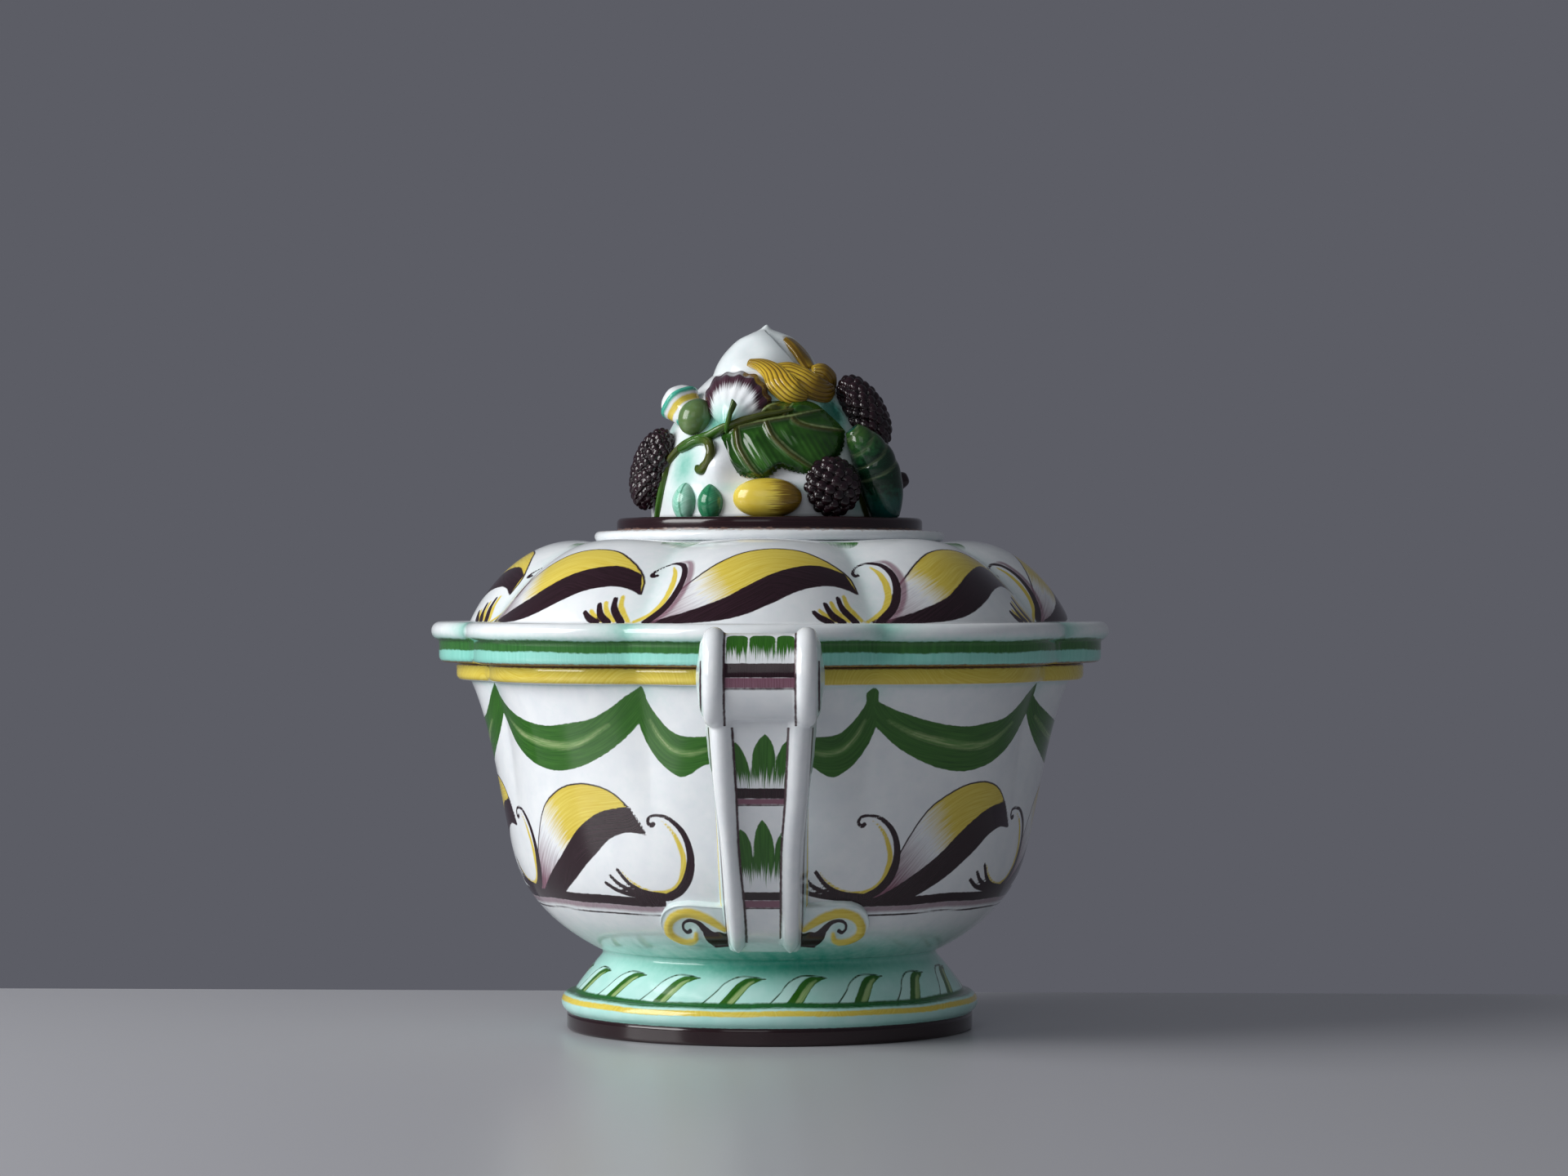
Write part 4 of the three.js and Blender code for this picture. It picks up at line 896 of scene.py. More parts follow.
SCROLL_REACH, SCROLL_LEVEL = 180.0, 169.2
SCROLL_DEEP, SCROLL_HIGH = 15.0, 19.2
SCROLL_HALF, SCROLL_BULGE = 24.75, 3.3
BEAD_WIDTH, BEAD_RISE = 9.3, 2.8
PANEL_HALF = SCROLL_HALF - BEAD_WIDTH
RAIL_RISE = 3.4
STRAP_THICKNESS = 12.0
TOE_LEVEL = 43.0
STRAP = bend((SCROLL_REACH + 0.5, SCROLL_LEVEL - SCROLL_HIGH - 0.3), (SHOULDER_RADIUS - 21.1, TOE_LEVEL),
             (0.03, 0.31), (0.43, 0.18), 120)
STRAP_HALF = smooth([(40, 15.7), (63, 16.6), (92, 17.8), (118, 20.3), (150, 22.2)])  # by height
STRAP_BACK = smooth([(40, 20.4), (75, 20.4), (105, 20.8), (118, 21.8), (130, 23.4), (150, 24.8)])
RAIL_WIDTH = {  # by height, a little uneven as they were rolled by hand
    -1: smooth([(40, 7.7), (63, 8.4), (92, 7.7), (118, 9.5), (150, 9.8)]),
    1: smooth([(40, 8.7), (63, 8.8), (92, 9.2), (118, 9.6), (150, 9.9)]),
}
PALMETTES = [  # each from its foot up to its top, in outlined blades
    (119.0, 144.8, [
        [
            (2.0, 144.8), (4.6, 141.5), (6.1, 137), (6.4, 131), (5.8, 119), (-3.6, 119), (-3.9, 131),
            (-3.2, 137), (-0.8, 141.8),
        ],
        [(-12.4, 142.4), (-9.4, 139.4), (-6.6, 134.6), (-4.9, 128.5), (-3.6, 119), (-14, 119), (-14, 131)],
        [(12.4, 142.4), (9.4, 139.2), (7.0, 134), (6.2, 128), (5.4, 119), (14, 119), (14, 131)],
    ]),
    (76.0, 106.6, [
        [
            (0.2, 106.6), (2.6, 103.5), (4.6, 98.5), (5.5, 92), (5.4, 76), (-3.4, 76), (-3.5, 92), (-3.2, 98),
            (-1.8, 103.2),
        ],
        [(-9.6, 102.2), (-7.2, 100.4), (-5.2, 96.5), (-4.2, 91), (-3.4, 76), (-12, 76), (-12, 92)],
        [(9.8, 102), (8.0, 99.8), (6.4, 96), (5.6, 91), (5.2, 76), (12, 76), (12, 92)],
    ]),
]
VOXEL, SMOOTHINGS = 0.75, 4  # how finely a handle's parts are fused, and how often their joins are smoothed
HANDLE_TURN = math.radians(1.3)  # off the middle of its lobe, as the potter luted it on
OUTER_WALL = np.vstack([
    wall_profile(0, BOWL_SEAT, NECK_RADIUS),
    [[BAND_RADIUS, RIM - BAND_HEIGHT + 0.5], [BAND_RADIUS, RIM]],
])


def wall_radius(height):
    """The bowl's outer radius at the middle of a lobe."""
    return np.interp(height, OUTER_WALL[:, 1], OUTER_WALL[:, 0])


def side_place(x, reach, height):
    """Points at the front, from x, the reach out from the axis, and height."""
    x, reach, height = np.broadcast_arrays(x, reach, height)
    return np.stack([x, -reach, height], -1).astype(float)


def scroll_ring(x, angle, rise):
    """Points of the scroll's oval, rise above it, at angles from straight out."""
    reach = SCROLL_REACH + (SCROLL_DEEP + rise) * np.cos(angle)
    return side_place(x, reach, SCROLL_LEVEL + (SCROLL_HIGH + rise) * np.sin(angle))


def strap_frame(share):
    """The strap's front at a share of the way down it, and its direction out of that face."""
    at = share * (len(STRAP) - 1)
    i = min(int(at), len(STRAP) - 2)
    way = STRAP[i + 1] - STRAP[i]
    way = way / np.linalg.norm(way)
    return STRAP[i] + (at - i) * (STRAP[i + 1] - STRAP[i]), np.array([-way[1], way[0]])


def by_height(table, height):
    """The value at a height, from a table of [height, value]."""
    return np.interp(height, table[:, 0], table[:, 1])


def turned(points, turn):
    """Points made at the front, turned about the tureen's axis."""
    c, s = math.cos(turn), math.sin(turn)
    return points @ np.array([[c, s, 0], [-s, c, 0], [0, 0, 1]])


def half_round(width, rise):
    """The section of a half-round roll of clay, as across and out."""
    angle = np.linspace(0, math.pi, 12)
    return width / 2 * np.cos(angle), rise * np.sin(angle) ** 0.8


def rounded_end(share, length):
    """How full a roll of clay is near an end that is rounded off over a length."""
    return math.sqrt(max(0.0, 1 - (1 - min(1, share / length)) ** 2))


def handle_solids():
    """The scroll, its neck, two beads, the strap and two rails, as [points, faces] that overlap."""
    turn = azimuths(72)
    rings = []
    for part in np.linspace(-1, 1, 31):
        x = part * (SCROLL_HALF + SCROLL_BULGE)
        beyond = max(0, (abs(x) - SCROLL_HALF + 1.5) / (SCROLL_BULGE + 1.5))
        share = max(0.12, math.sqrt(max(0, 1 - beyond**2)))
        middle = side_place(x, SCROLL_REACH, SCROLL_LEVEL)
        rings.append(middle + (scroll_ring(x, turn, 0) - middle) * share)
    solids = [rings]
    for side in (-1, 1):
        rings = []
        for share in np.linspace(0, 1, 40):
            angle = math.radians(112 - 204 * share)
            full = max(math.sqrt(0.06), rounded_end(min(share, 1 - share), 0.05))
            across, out = half_round(BEAD_WIDTH, BEAD_RISE + 2.0)
            middle = side * (SCROLL_HALF - BEAD_WIDTH / 2)
            rings.append(scroll_ring(middle + across * full, angle, (out - 2.0) * full))
        solids.append(rings)
    top = LID_SEAT - 2
    side_view = np.vstack([
        bend((MOUTH_RADIUS - 4, top - 20), (SCROLL_REACH + 4, top - 19), (0.3, 0.1), (0.3, -0.9), 12),
        [[SCROLL_REACH + 4, top], [MOUTH_RADIUS - 4, top]],
    ])
    solids.append([side_place(x, side_view[:, 0], side_view[:, 1]) for x in np.linspace(-21, 21, 8)])
    rings = []
    for share in np.linspace(0, 1, 40):
        point, out = strap_frame(share)
        back = point - STRAP_THICKNESS * out
        half, behind = by_height(STRAP_HALF, point[1]), by_height(STRAP_BACK, point[1])
        front = point - 1.0 * out
        corners = np.stack([front, point, point, front, back, back], 1)
        rings.append(side_place([-half, 1.5 - half, half - 1.5, half, behind, -behind], *corners))
    solids.append(rings)
    for side in (-1, 1):
        rings = []
        for share in np.sin(np.linspace(0, math.pi / 2, 60)):
            point, out = strap_frame(0.957 * share)
            full = max(math.sqrt(0.02), rounded_end(1 - share, 0.038))
            width = by_height(RAIL_WIDTH[side], point[1])
            across, rise = half_round(width * full, RAIL_RISE + 2.5)
            lifted = point + np.outer(rise - 2.5, out)
            middle = side * (by_height(STRAP_HALF, point[1]) - width / 2)
            rings.append(side_place(middle + across, lifted[:, 0], lifted[:, 1]))
        solids.append(rings)
    return [(skin_points(rings), skin_faces(rings)) for rings in solids]


def fused(name, solids):
    """One closed body from overlapping ones, its joins softened as wet clay's are under a finger."""
    whole = bmesh.new()
    for points, faces in solids:
        whole.from_mesh(closed_mesh("part", points, faces))
    mesh = bpy.data.meshes.new(name)
    whole.to_mesh(mesh)
    whole.free()
    draft = bpy.data.objects.new(name, mesh)
    bpy.context.scene.collection.objects.link(draft)
    remesh = draft.modifiers.new("fuse", "REMESH")
    remesh.mode = "VOXEL"
    remesh.voxel_size = VOXEL * MM
    soften = draft.modifiers.new("soften", "SMOOTH")
    soften.factor, soften.iterations = 0.5, SMOOTHINGS
    bpy.context.view_layer.update()
    done = bpy.data.meshes.new_from_object(draft.evaluated_get(bpy.context.evaluated_depsgraph_get()))
    bpy.data.objects.remove(draft)
    return bpy.data.objects.new(name, done)


def handle(end, turn):
    """A handle, its parts fused and painted, and the two scrolls beside its toe."""
    name = "handle_" + end
    piece = fused(name + "_body", handle_solids())
    points = points_of(piece)
    radius = np.hypot(points[:, 0], points[:, 1])
    outward = np.maximum(1, (wall_radius(points[:, 2]) - 3.0) / radius)  # so that none of it is in the bowl
    points[:, :2] *= outward[:, None]
    piece.data.vertices.foreach_set("co", (turned(points, turn) * MM).ravel())
    piece.data.update()
    parts = ["scroll", "strap", "bead_left", "bead_right", "rail_left", "rail_right"]
    dress(piece, "vessel", *[f"{name}_{part}" for part in parts])
    store(piece, **paint_handle(points))
    glaze_with(piece, STRAP_GLAZE)
    for hand, side in (("left", -1), ("right", 1)):
        foot_scroll(f"{name}_foot_scroll_{hand}", side, turn)


def behind_strap(reach, height):
    """How far behind the strap's front points lie, about square to its face, which leans towards the toe."""
    nearest = np.full(len(reach), np.inf)
    share = np.zeros(len(reach))
    for down in np.arange(0, len(STRAP) - 1, 2) / (len(STRAP) - 1):
        point = strap_frame(down)[0]
        gap = np.hypot(reach - point[0], height - point[1])
        share = np.where(gap < nearest, down, share)
        nearest = np.minimum(nearest, gap)
    front = np.interp(height, STRAP[::-1, 1], STRAP[::-1, 0])
    return (front - reach) * np.interp(share, [0, 0.4, 1], [1.0, 0.86, 0.75])


def paint_handle(points):
    """Fields of the grass tufts, dark and purple bands, and fine lines along the beads and rails."""
    x, reach, height = points[:, 0], -points[:, 1], points[:, 2]
    across = np.abs(x)
    out, up = (reach - SCROLL_REACH) / SCROLL_DEEP, (height - SCROLL_LEVEL) / SCROLL_HIGH
    angle = np.arctan2(up, out)
    on_scroll = (np.hypot(up, out) < 1.35) & (height > 147.5) & (reach > 158)
    turn = np.linspace(-math.pi, math.pi, 361)
    rim = lengths(np.stack([SCROLL_DEEP * np.cos(turn), SCROLL_HIGH * np.sin(turn)], 1))
    round_way = np.interp(angle, turn, rim - rim[180])
    behind = behind_strap(reach, height)
    half = by_height(STRAP_HALF, height)
    inner = half - np.where(x < 0, by_height(RAIL_WIDTH[-1], height), by_height(RAIL_WIDTH[1], height))
    on_strap = ~on_scroll & (height < 151)
    face = on_strap & (behind < 1.2)
    panel = on_scroll & (across < PANEL_HALF + 1.5) & (np.abs(angle) < 2.1)
    side = on_strap & (across > half - 2)
    boss = on_scroll & (across > SCROLL_HALF - 1) & (angle < 0.5) & (angle > -1.2)

    grass = np.full(len(x), FAR)
    corner = 3.0
    above = round_way - 22.0 + corner
    for middle, width in ((-9.9, 9.4), (1.05, 11.0), (11.2, 7.8)):
        aside = bar_field(x, middle, width / 2) + corner
        outside = np.hypot(np.maximum(aside, 0), np.maximum(above, 0))
        grass = np.minimum(grass, outside + np.minimum(np.maximum(aside, above), 0) - corner)
    stroke = np.where(panel[:, None], np.stack([round_way, x * 1.8, 0 * x], 1), 0.0)
    leaves = np.full(len(x), FAR)
    for foot, top, blades in PALMETTES:
        near = np.nonzero(face & (height < top + 3) & (height > foot - 3))[0]
        for blade in blades:
            outline = smooth(np.array([*blade, blade[0]]))
            leaves[near] = np.minimum(leaves[near], area_field(x[near], height[near], outline))
        over = height - foot
        stroke[near] = np.stack([over + 60, x * (1.8 - 0.02 * over), 0 * x + 30], 1)[near]

    def bars(on_panel, *on_face):
        """Bands across the scroll's panel and the strap's face, from an upper to a lower edge."""
        field = only(panel, bar_field(round_way, sum(on_panel) / 2, (on_panel[0] - on_panel[1]) / 2))
        for upper, lower in on_face:
            field = np.minimum(field, only(face, bar_field(height, (upper + lower) / 2, (upper - lower) / 2)))
        return np.maximum(field, across - np.where(on_scroll, PANEL_HALF, inner) - 0.2)

    lines = np.minimum.reduce([
        bars((-4.4, -5.2), (113.4, 112.7), (65.5, 64.8)),
        only(panel, bar_field(across, PANEL_HALF, 0.5)),
        only(face & (height > 49 + 0.15 * x), bar_field(across, inner, 0.55)),
        only(side, bar_field(behind, 4.4, 1.3)),
        only(boss, bar_field(across, SCROLL_HALF + 0.9, 0.5 * np.cos(angle + 0.35))),
    ])
    pool = np.where(side & (behind > 3), 0.28 + 0.12 * np.sin(height * 0.12), 0.0)
    pool = np.where(on_scroll & (across > SCROLL_HALF), 0.3, pool)
    return {
        "grass": only(panel, grass),
        "leaves": only(face, np.maximum(leaves, across - inner + 0.2)),
        "dark_band": bars((6.4, 0.2), (120.6, 116.0), (72.9, 69.0)),
        "purple_band": bars((0.2, -4.4), (116.0, 113.3), (69.0, 65.4)),
        "lines": lines,
        "yellow_edge": only(side & (height < 112), bar_field(behind, 10.6, 1.1)),
        "pool": np.maximum(pool, smoothstep(-height, -56, -44) * 0.45),
        "stroke": stroke,
    }


# White glaze, mint down the sides, with ragged green tufts between dark lines
STRAP_GLAZE = glazed("handle", WHITE, [
    Coat("grass", GREEN, fade=(9.5, 12.5, 24)),
    Coat("leaves", GREEN, fade=(63, 67, 26)),
    Coat("purple_band", PURPLE, soft=0.35),
    Coat("dark_band", MAROON),
    Coat("yellow_edge", YELLOW, soft=0.4),
    Coat("lines", ("#2a171c", "#4a2f38"), wobble=0.5, soft=0.25),
], TEAL)
# White glaze over a raised coil, teal in its hollows, with a broad yellow curl and a dark hook
FOOT_SCROLL_GLAZE = glazed("toe", WHITE, [
    Coat("curl", YELLOW, soft=0.5),
    Coat("hook", MAROON, wobble=0.5),
], TEAL)
FOOT_SCROLL_RISE = 4.0


def foot_scroll(name, side, turn):
    """The raised scroll beside a handle's toe, a flat coil of clay pressed on the wall."""
    outline = np.vstack([
        smooth([
            (15, 48), (22, 47.4), (30, 47.8), (38, 48.6), (44, 51), (47.5, 55), (48.3, 59.5), (46, 64),
            (41, 66.6), (34, 67.4), (26, 67.0), (15, 66.4),
        ]),
        [[15, 57]],
    ])
    outline = spaced(np.vstack([outline, outline[:1]]), 0.8)[:-1]
    heart = np.array([31.0, 57.4])
    curl = smooth([
        (17.5, 56.6), (21.5, 59.2), (27, 62), (34.5, 63.6), (41, 61.5), (43.9, 56.8), (42.2, 52.3),
        (36.5, 49.9), (31.4, 51.2), (30.6, 54.6),
    ])
    hook = smooth([
        (33.4, 55.4), (34.8, 54.6), (36.6, 56.2), (36.3, 58.8), (33.5, 60.2), (29.8, 59.3), (26.6, 56.2),
        (23.4, 52.4), (17, 50.6),
    ])
    rings, places = [], []
    edge = [(1.0, -2.5), (1.0, 0.0), (0.995, 1.4), (0.98, 2.7), (0.95, 3.5)]
    for share, rise in [*edge, *((share, FOOT_SCROLL_RISE) for share in np.linspace(0.92, 0.06, 26))]:
        x, y = (heart + (outline - heart) * share).T
        if rise == FOOT_SCROLL_RISE:
            rise = rise - 0.9 + 0.9 * np.exp(-((nearest_on(x, y, curl)[0] / 2.0) ** 2))
        wall = wall_radius(y)
        slope = np.arctan((wall_radius(y + 1) - wall_radius(y - 1)) / 2)
        rings.append(around(wall + rise * np.cos(slope), x / wall * side, y - rise * np.sin(slope)))
        places.append(np.stack([x, y], 1))
    piece = make_mesh(name + "_clay", turned(skin_points(rings), turn), skin_faces(rings), "vessel", name)
    x, y = np.vstack([*places, heart, heart]).T
    store(
        piece,
        curl=stroke_field(x, y, curl, [2.4, 3.6, 4.2, 4.4, 4.4, 4.4, 4.4, 4.2, 3.4, 1.8]),
        hook=stroke_field(x, y, hook, [2.0, 1.2, 1.4, 1.8, 2.3, 3.2, 5.6, 8.0, 8.0]),
        stroke=np.stack([x, y * 0.5, 0 * x], 1),
        pool=0.2 + 0.5 * smoothstep(-y, -55, -48) + 0.25 * blot(x, y, (34, 57), (7, 4)),
    )
    glaze_with(piece, FOOT_SCROLL_GLAZE)


# Finial: a white mound with fruit, leaves and flowers modelled by hand and pressed on it

MOUND_FOOT, MOUND_RADIUS, MOUND_HEIGHT = DISC_TOP, 56.0, 80.0
FINIAL_GLOSS = 0.16
FRONT, REAR = (0.0, 1.0), (math.pi, -1.0)  # where a side is seen from, and which way its azimuth grows


def mound_radius(rise):
    """The mound's radius at a rise above the disc."""
    share = np.clip(np.asarray(rise, float) / MOUND_HEIGHT, 0, 1)
    return MOUND_RADIUS * (1 - share**2.2) ** (1 / 1.6)


def mound_slope(rise):
    """How much the mound's radius changes for each mm of rise."""
    return np.clip((mound_radius(rise + 0.1) - mound_radius(rise - 0.1)) / 0.2, -4, 0)


def on_mound(side, azimuth, rise, lift):
    """Points lifted off the mound, with azimuth in degrees from the middle of a side."""
    rise = np.asarray(rise, float)
    slope = mound_slope(rise)
    size = np.hypot(1, slope)
    turn = side[0] + side[1] * np.radians(azimuth)
    return around(mound_radius(rise) + lift / size, turn, MOUND_FOOT + rise - lift * slope / size)


def side_azimuth(side, points):
    """The azimuth of points in degrees from the middle of a side, and their rise up the mound."""
    azimuth, _, height = round_places(points)
    return (np.degrees(azimuth - side[0]) * side[1] + 180) % 360 - 180, height - MOUND_FOOT


def in_front(side, x, rise, lift):
    """Points before the mound where a viewer of that side sees them, x to the right of its middle."""
    sign = math.cos(side[0])
    depth = np.sqrt(np.maximum(mound_radius(rise) ** 2 - x**2, 9.0)) + lift
    x, depth, level = np.broadcast_arrays(x, depth, MOUND_FOOT + rise)
    return np.stack([sign * side[1] * x, -sign * depth, level], -1).astype(float)


def seen(side, points):
    """The x and rise at which a viewer of that side sees points."""
    return math.cos(side[0]) * side[1] * points[:, 0], points[:, 2] - MOUND_FOOT


def above_disc(points):
    """The points, with none lower than just under the disc's top."""
    return np.maximum(points, [-np.inf, -np.inf, MOUND_FOOT - 1])


def set_on(side, azimuth, rise, lift, points, turn=0.0):
    """Points made with X across, Y up and Z out, set on the mound and turned in its surface."""
    origin = on_mound(side, azimuth, rise, lift)
    across = unit(on_mound(side, azimuth + 0.5, rise, lift) - origin)
    out = on_mound(side, azimuth, rise, lift + 1.0) - origin
    frame = np.stack([across, np.cross(out, across) * side[1], out])
    return above_disc(turned(points.reshape(-1, 3), turn) @ frame + origin).reshape(points.shape)


def clay(name, rings):
    """A closed piece of the finial, over its rings."""
    return skin(name + "_clay", list(rings), "lid", name)


def sheet(name, side, x, rise, lift, back):
    """A thin piece before the mound, over a grid of places with the lift of its face and of its back."""
    face, rear = in_front(side, x, rise, lift), in_front(side, x, rise, back)
    return clay(name, np.concatenate([face, rear[:, ::-1]], 1))


def strand_rings(side, route, widths, rises, lifts):
    """A half-round strand of clay along the mound through [azimuth, rise] places."""
    scale = np.array([math.radians(1) * MOUND_RADIUS, 1.0])
    path = spaced(smooth(np.array(route) * scale), 0.7)
    way = unit(np.gradient(path, axis=0))
    share = np.linspace(0, 1, len(path))
    angle = np.linspace(-0.35, math.pi + 0.35, 18)
    rings = []
    sizes = (between(share, values) for values in (widths, rises, lifts))
    for place, (wx, wy), width, rise, lift in zip(path, way, *sizes):
        across = width / 2 * np.cos(angle)
        azimuth = np.degrees((place[0] + across * wy) / MOUND_RADIUS)
        rings.append(on_mound(side, azimuth, place[1] - across * wx, rise * np.sin(angle) + lift))
    return rings


def ball(columns, rows):
    """Directions over a ball: rings from pole to pole along Y."""
    polar = np.linspace(0.5 / rows, 1 - 0.5 / rows, rows) * math.pi
    turn = azimuths(columns)
    return np.stack([
        np.sin(polar)[:, None] * np.cos(turn), np.repeat(np.cos(polar)[:, None], columns, 1),
        np.sin(polar)[:, None] * np.sin(turn),
    ], -1)


def tube_rings(path, level, turn, size):
    """Rings round a path on the mound; size gives half widths across and out for each share of its length."""
    way = unit(np.gradient(path, axis=0))
    across = unit(np.cross(way, path - [0, 0, MOUND_FOOT + level]))
    out = np.cross(across, way)
    rings = []
    for k, share in enumerate(np.linspace(0, 1, len(path))):
        width, depth = size(share)
        aside, above = np.outer(width * np.cos(turn), across[k]), np.outer(depth * np.sin(turn), out[k])
        rings.append(path[k] + aside + above)
    return rings


def finish(piece, material, slot, **fields):
    """Gives a finial piece its paint fields and glaze; its slot is not used. The poles take the last value of
    a field.
    """
    count = len(piece.data.vertices)
    for name, values in {"stroke": np.zeros((count, 3)), "pool": np.zeros(count), **fields}.items():
        rows = np.asarray(values, float).reshape(-1, 3) if np.shape(values)[-1] == 3 else np.ravel(values)
        store(piece, **{name: np.concatenate([rows, np.repeat(rows[-1:], count - len(rows), 0)])})
    glaze_with(piece, material)


def swelling(azimuth, rise):
    """How far the clay swells out beside the tendril, by the nut and under the shell flower."""
    beside_tendril = 6.0 * blot(azimuth, rise, (-23, 25), (8.5, 9.5))
    by_nut = 2.5 * blot(azimuth, rise, (24, 16), (9, 8))
    under_shell = 3.0 * blot(azimuth, rise, (-10, 55), (22, 6))
    return beside_tendril + by_nut + under_shell + 0.5 * np.sin(azimuth / 9) * np.sin(rise / 5)


MOUND_POOLS = [  # azimuth and rise, their sizes, and how deep the glaze has gathered
    ((-46, 24), (10, 13), 0.75), ((-31, 44), (11, 8), 0.8), ((-40, 10), (18, 6), 0.45),
    ((-2, 13), (60, 3), 0.3), ((45, 49), (14, 11), 1.0), ((62, 30), (14, 14), 0.8),
    ((-75, 40), (10, 14), 0.4), ((50, 6), (9, 7), 0.5), ((10, 56), (24, 4), 0.5),
]


def mound():
    """The core of clay, with a soft swelling under the tendril and teal glaze run into its hollows."""
    rises = MOUND_HEIGHT * np.sin(np.linspace(0, 0.985, 110) * math.pi / 2) ** (2 / 2.2)
    points = np.vstack([around(mound_radius(r), azimuths(360), MOUND_FOOT + r) for r in rises])
    for side in (FRONT, REAR):
        azimuth, rise = side_azimuth(side, points)
        swell = swelling(azimuth, rise) * (np.abs(azimuth) < 90)
        points = points + unit(points * [1, 1, 0]) * swell[:, None]
    piece = skin("finial_core", np.split(points, len(rises)), "lid", "finial_mound")
    points = points_of(piece)
    pool, mottle, streak = np.zeros(len(points)), np.zeros(len(points)), np.full(len(points), FAR)
    blade = smooth([(50.5, 13), (53, 8.5), (55, 4), (58, -2)])
    for side in (FRONT, REAR):
        azimuth, rise = side_azimuth(side, points)
        for place, size, depth in MOUND_POOLS:
            pool = np.maximum(pool, depth * blot(azimuth, rise, place, size))
        mottle = np.maximum(mottle, blot(azimuth, rise, (45, 50), (11, 8)))
        streak = np.minimum(streak, stroke_field(azimuth, rise, blade, [2.0, 4.2, 4.6, 4.0]))
    # White glaze over finger-smoothed clay, teal and nearly black-green where it has run together
    glaze = glazed("core", WHITE, [
        Coat("mottle", ("#0f3f35", "#17614f"), wobble=7.0, soft=1.0, cover=0.75),
        Coat("streak", ("#4a4a1c", "#2c3a14"), soft=0.6),
    ], TEAL, roughness=FINIAL_GLOSS, ripple=1.8)
    finish(piece, glaze, "white_glaze", pool=pool, mottle=3.2 - 5.2 * mottle, streak=streak)


LEAF_LOW = [
    (-20.4, 37.2), (-19.6, 31), (-17.7, 25.3), (-13.8, 21.1), (-10, 18.8), (-4.3, 18.0), (1.3, 18.3),
    (5, 20.6), (7.8, 22.4), (12.5, 21.1), (19.9, 19.8), (24.6, 21.2), (28.2, 23.5), (33.7, 28), (36, 33),
    (36.5, 40),
]
LEAF_HIGH = [
    (-20.4, 37.8), (-14.2, 43.2), (-5.6, 46), (-3.6, 49.5), (-1, 52.8), (3.5, 54), (8.5, 54), (11.3, 53),
    (13.7, 54.4), (19.3, 54.2), (24, 52.4), (28.8, 48.4), (33.5, 44), (36.5, 40.6),
]
LEAF_VEINS = [
    [(-20, 39.9), (-10.4, 42.7), (-1, 44.5), (12.1, 46.8), (18, 48.2), (25, 49.8)],
    [(-13.6, 41.6), (-13, 37), (-12.1, 32.5), (-9.1, 27), (-5.3, 21.6), (-2.4, 18.6)],
    [(0.2, 44.6), (1.2, 42), (3.9, 37.1), (9.6, 31.2), (15.2, 27), (21.8, 22.5)],
    [(12.2, 46.6), (14, 44.6), (17.8, 42.9), (23.4, 41.7), (28.9, 41), (35, 40.3)],
    [(-3.4, 45), (-2.2, 48.6), (0.6, 51.4), (4.5, 52.4)],
    [(8.8, 46.6), (9.6, 49.6), (11.2, 52.4)],
]


def leaf(side, end):
    """The broad toothed leaf, cushioned between raised veins, its lower edge cut with a knife."""
    columns, rows = 190, 64
    low_edge = spaced(smooth(LEAF_LOW), 0.1)
    high_edge = spaced(smooth(LEAF_HIGH), 0.1)
    share = np.linspace(0, 1, columns)
    lower, upper = (np.stack([between(share, c) for c in edge.T], 1) for edge in (low_edge, high_edge))
    way = unit(np.gradient(lower, axis=0))
    tooth = 0.42 * (np.arange(columns) % 5 - 2) / 2 * smoothstep(share, 0.08, 0.2)
    jag = np.stack([way[:, 1], -way[:, 0]], 1) * (tooth * rng.uniform(0.6, 1.3, columns))[:, None]
    blend = np.linspace(0, 1, rows)[None, :, None]
    flat = lower[:, None] * (1 - blend) + upper[:, None] * blend + jag[:, None] * (1 - blend) ** 9
    x, rise = flat[..., 0], flat[..., 1]

    def away_from(*paths):
        gaps = [nearest_on(x.ravel(), rise.ravel(), path)[0] for path in paths]
        return np.minimum.reduce(gaps).reshape(x.shape)

    veins = [smooth(vein) for vein in LEAF_VEINS]
    vein = away_from(*veins)
    rim = away_from(low_edge[::6], high_edge[::6])
    cushion = 1 - np.exp(-((vein / 5.5) ** 2))
    fold = 2.6 * np.exp(-((vein / 1.7) ** 2))
    lift = 1.4 + smoothstep(rim, -0.4, 3.2) * (1.2 + 2.4 * cushion) + fold * smoothstep(rim, -0.4, 2.0)
    lift = lift + 0.18 * np.sin(x * 2.1 + rise * 1.3) * cushion
    lift = lift + 3.4 * blot(x, rise, (3, 50.6), (5, 2.6)) + 3.0 * blot(x, rise, (16, 51.2), (6, 2.6))
    piece = sheet("finial_leaf_" + end, side, x, rise, lift, -1.5 + 0 * x)
    x, rise = seen(side, points_of(piece))
    best = np.full(len(x), np.inf)
    stroke = np.zeros((len(x), 3))
    for number, path in enumerate(veins):
        distance, along, _ = nearest_on(x, rise, path)
        stroke[distance < best] = np.stack([distance, along, 0 * x + 30 * number], 1)[distance < best]
        best = np.minimum(best, distance)
    finish(
        piece, LEAF_GLAZE, "green_glaze", stroke=stroke,
        veins=np.minimum.reduce([stroke_field(x, rise, path, [2.6, 2.6, 2.2, 1.0]) for path in veins]),
        # A painted highlight: a pale line beside each raised vein
        shine=np.minimum.reduce([stroke_field(x, rise, p + [1.5, 0.5], [0.2, 0.7, 0.8, 0.3]) for p in veins]),
        dark=nearest_on(x, rise, low_edge[::6])[0] - 3.2,
        curl=np.hypot((x - 2.5) / 1.7, rise - 50.6) - 3.2,
    )


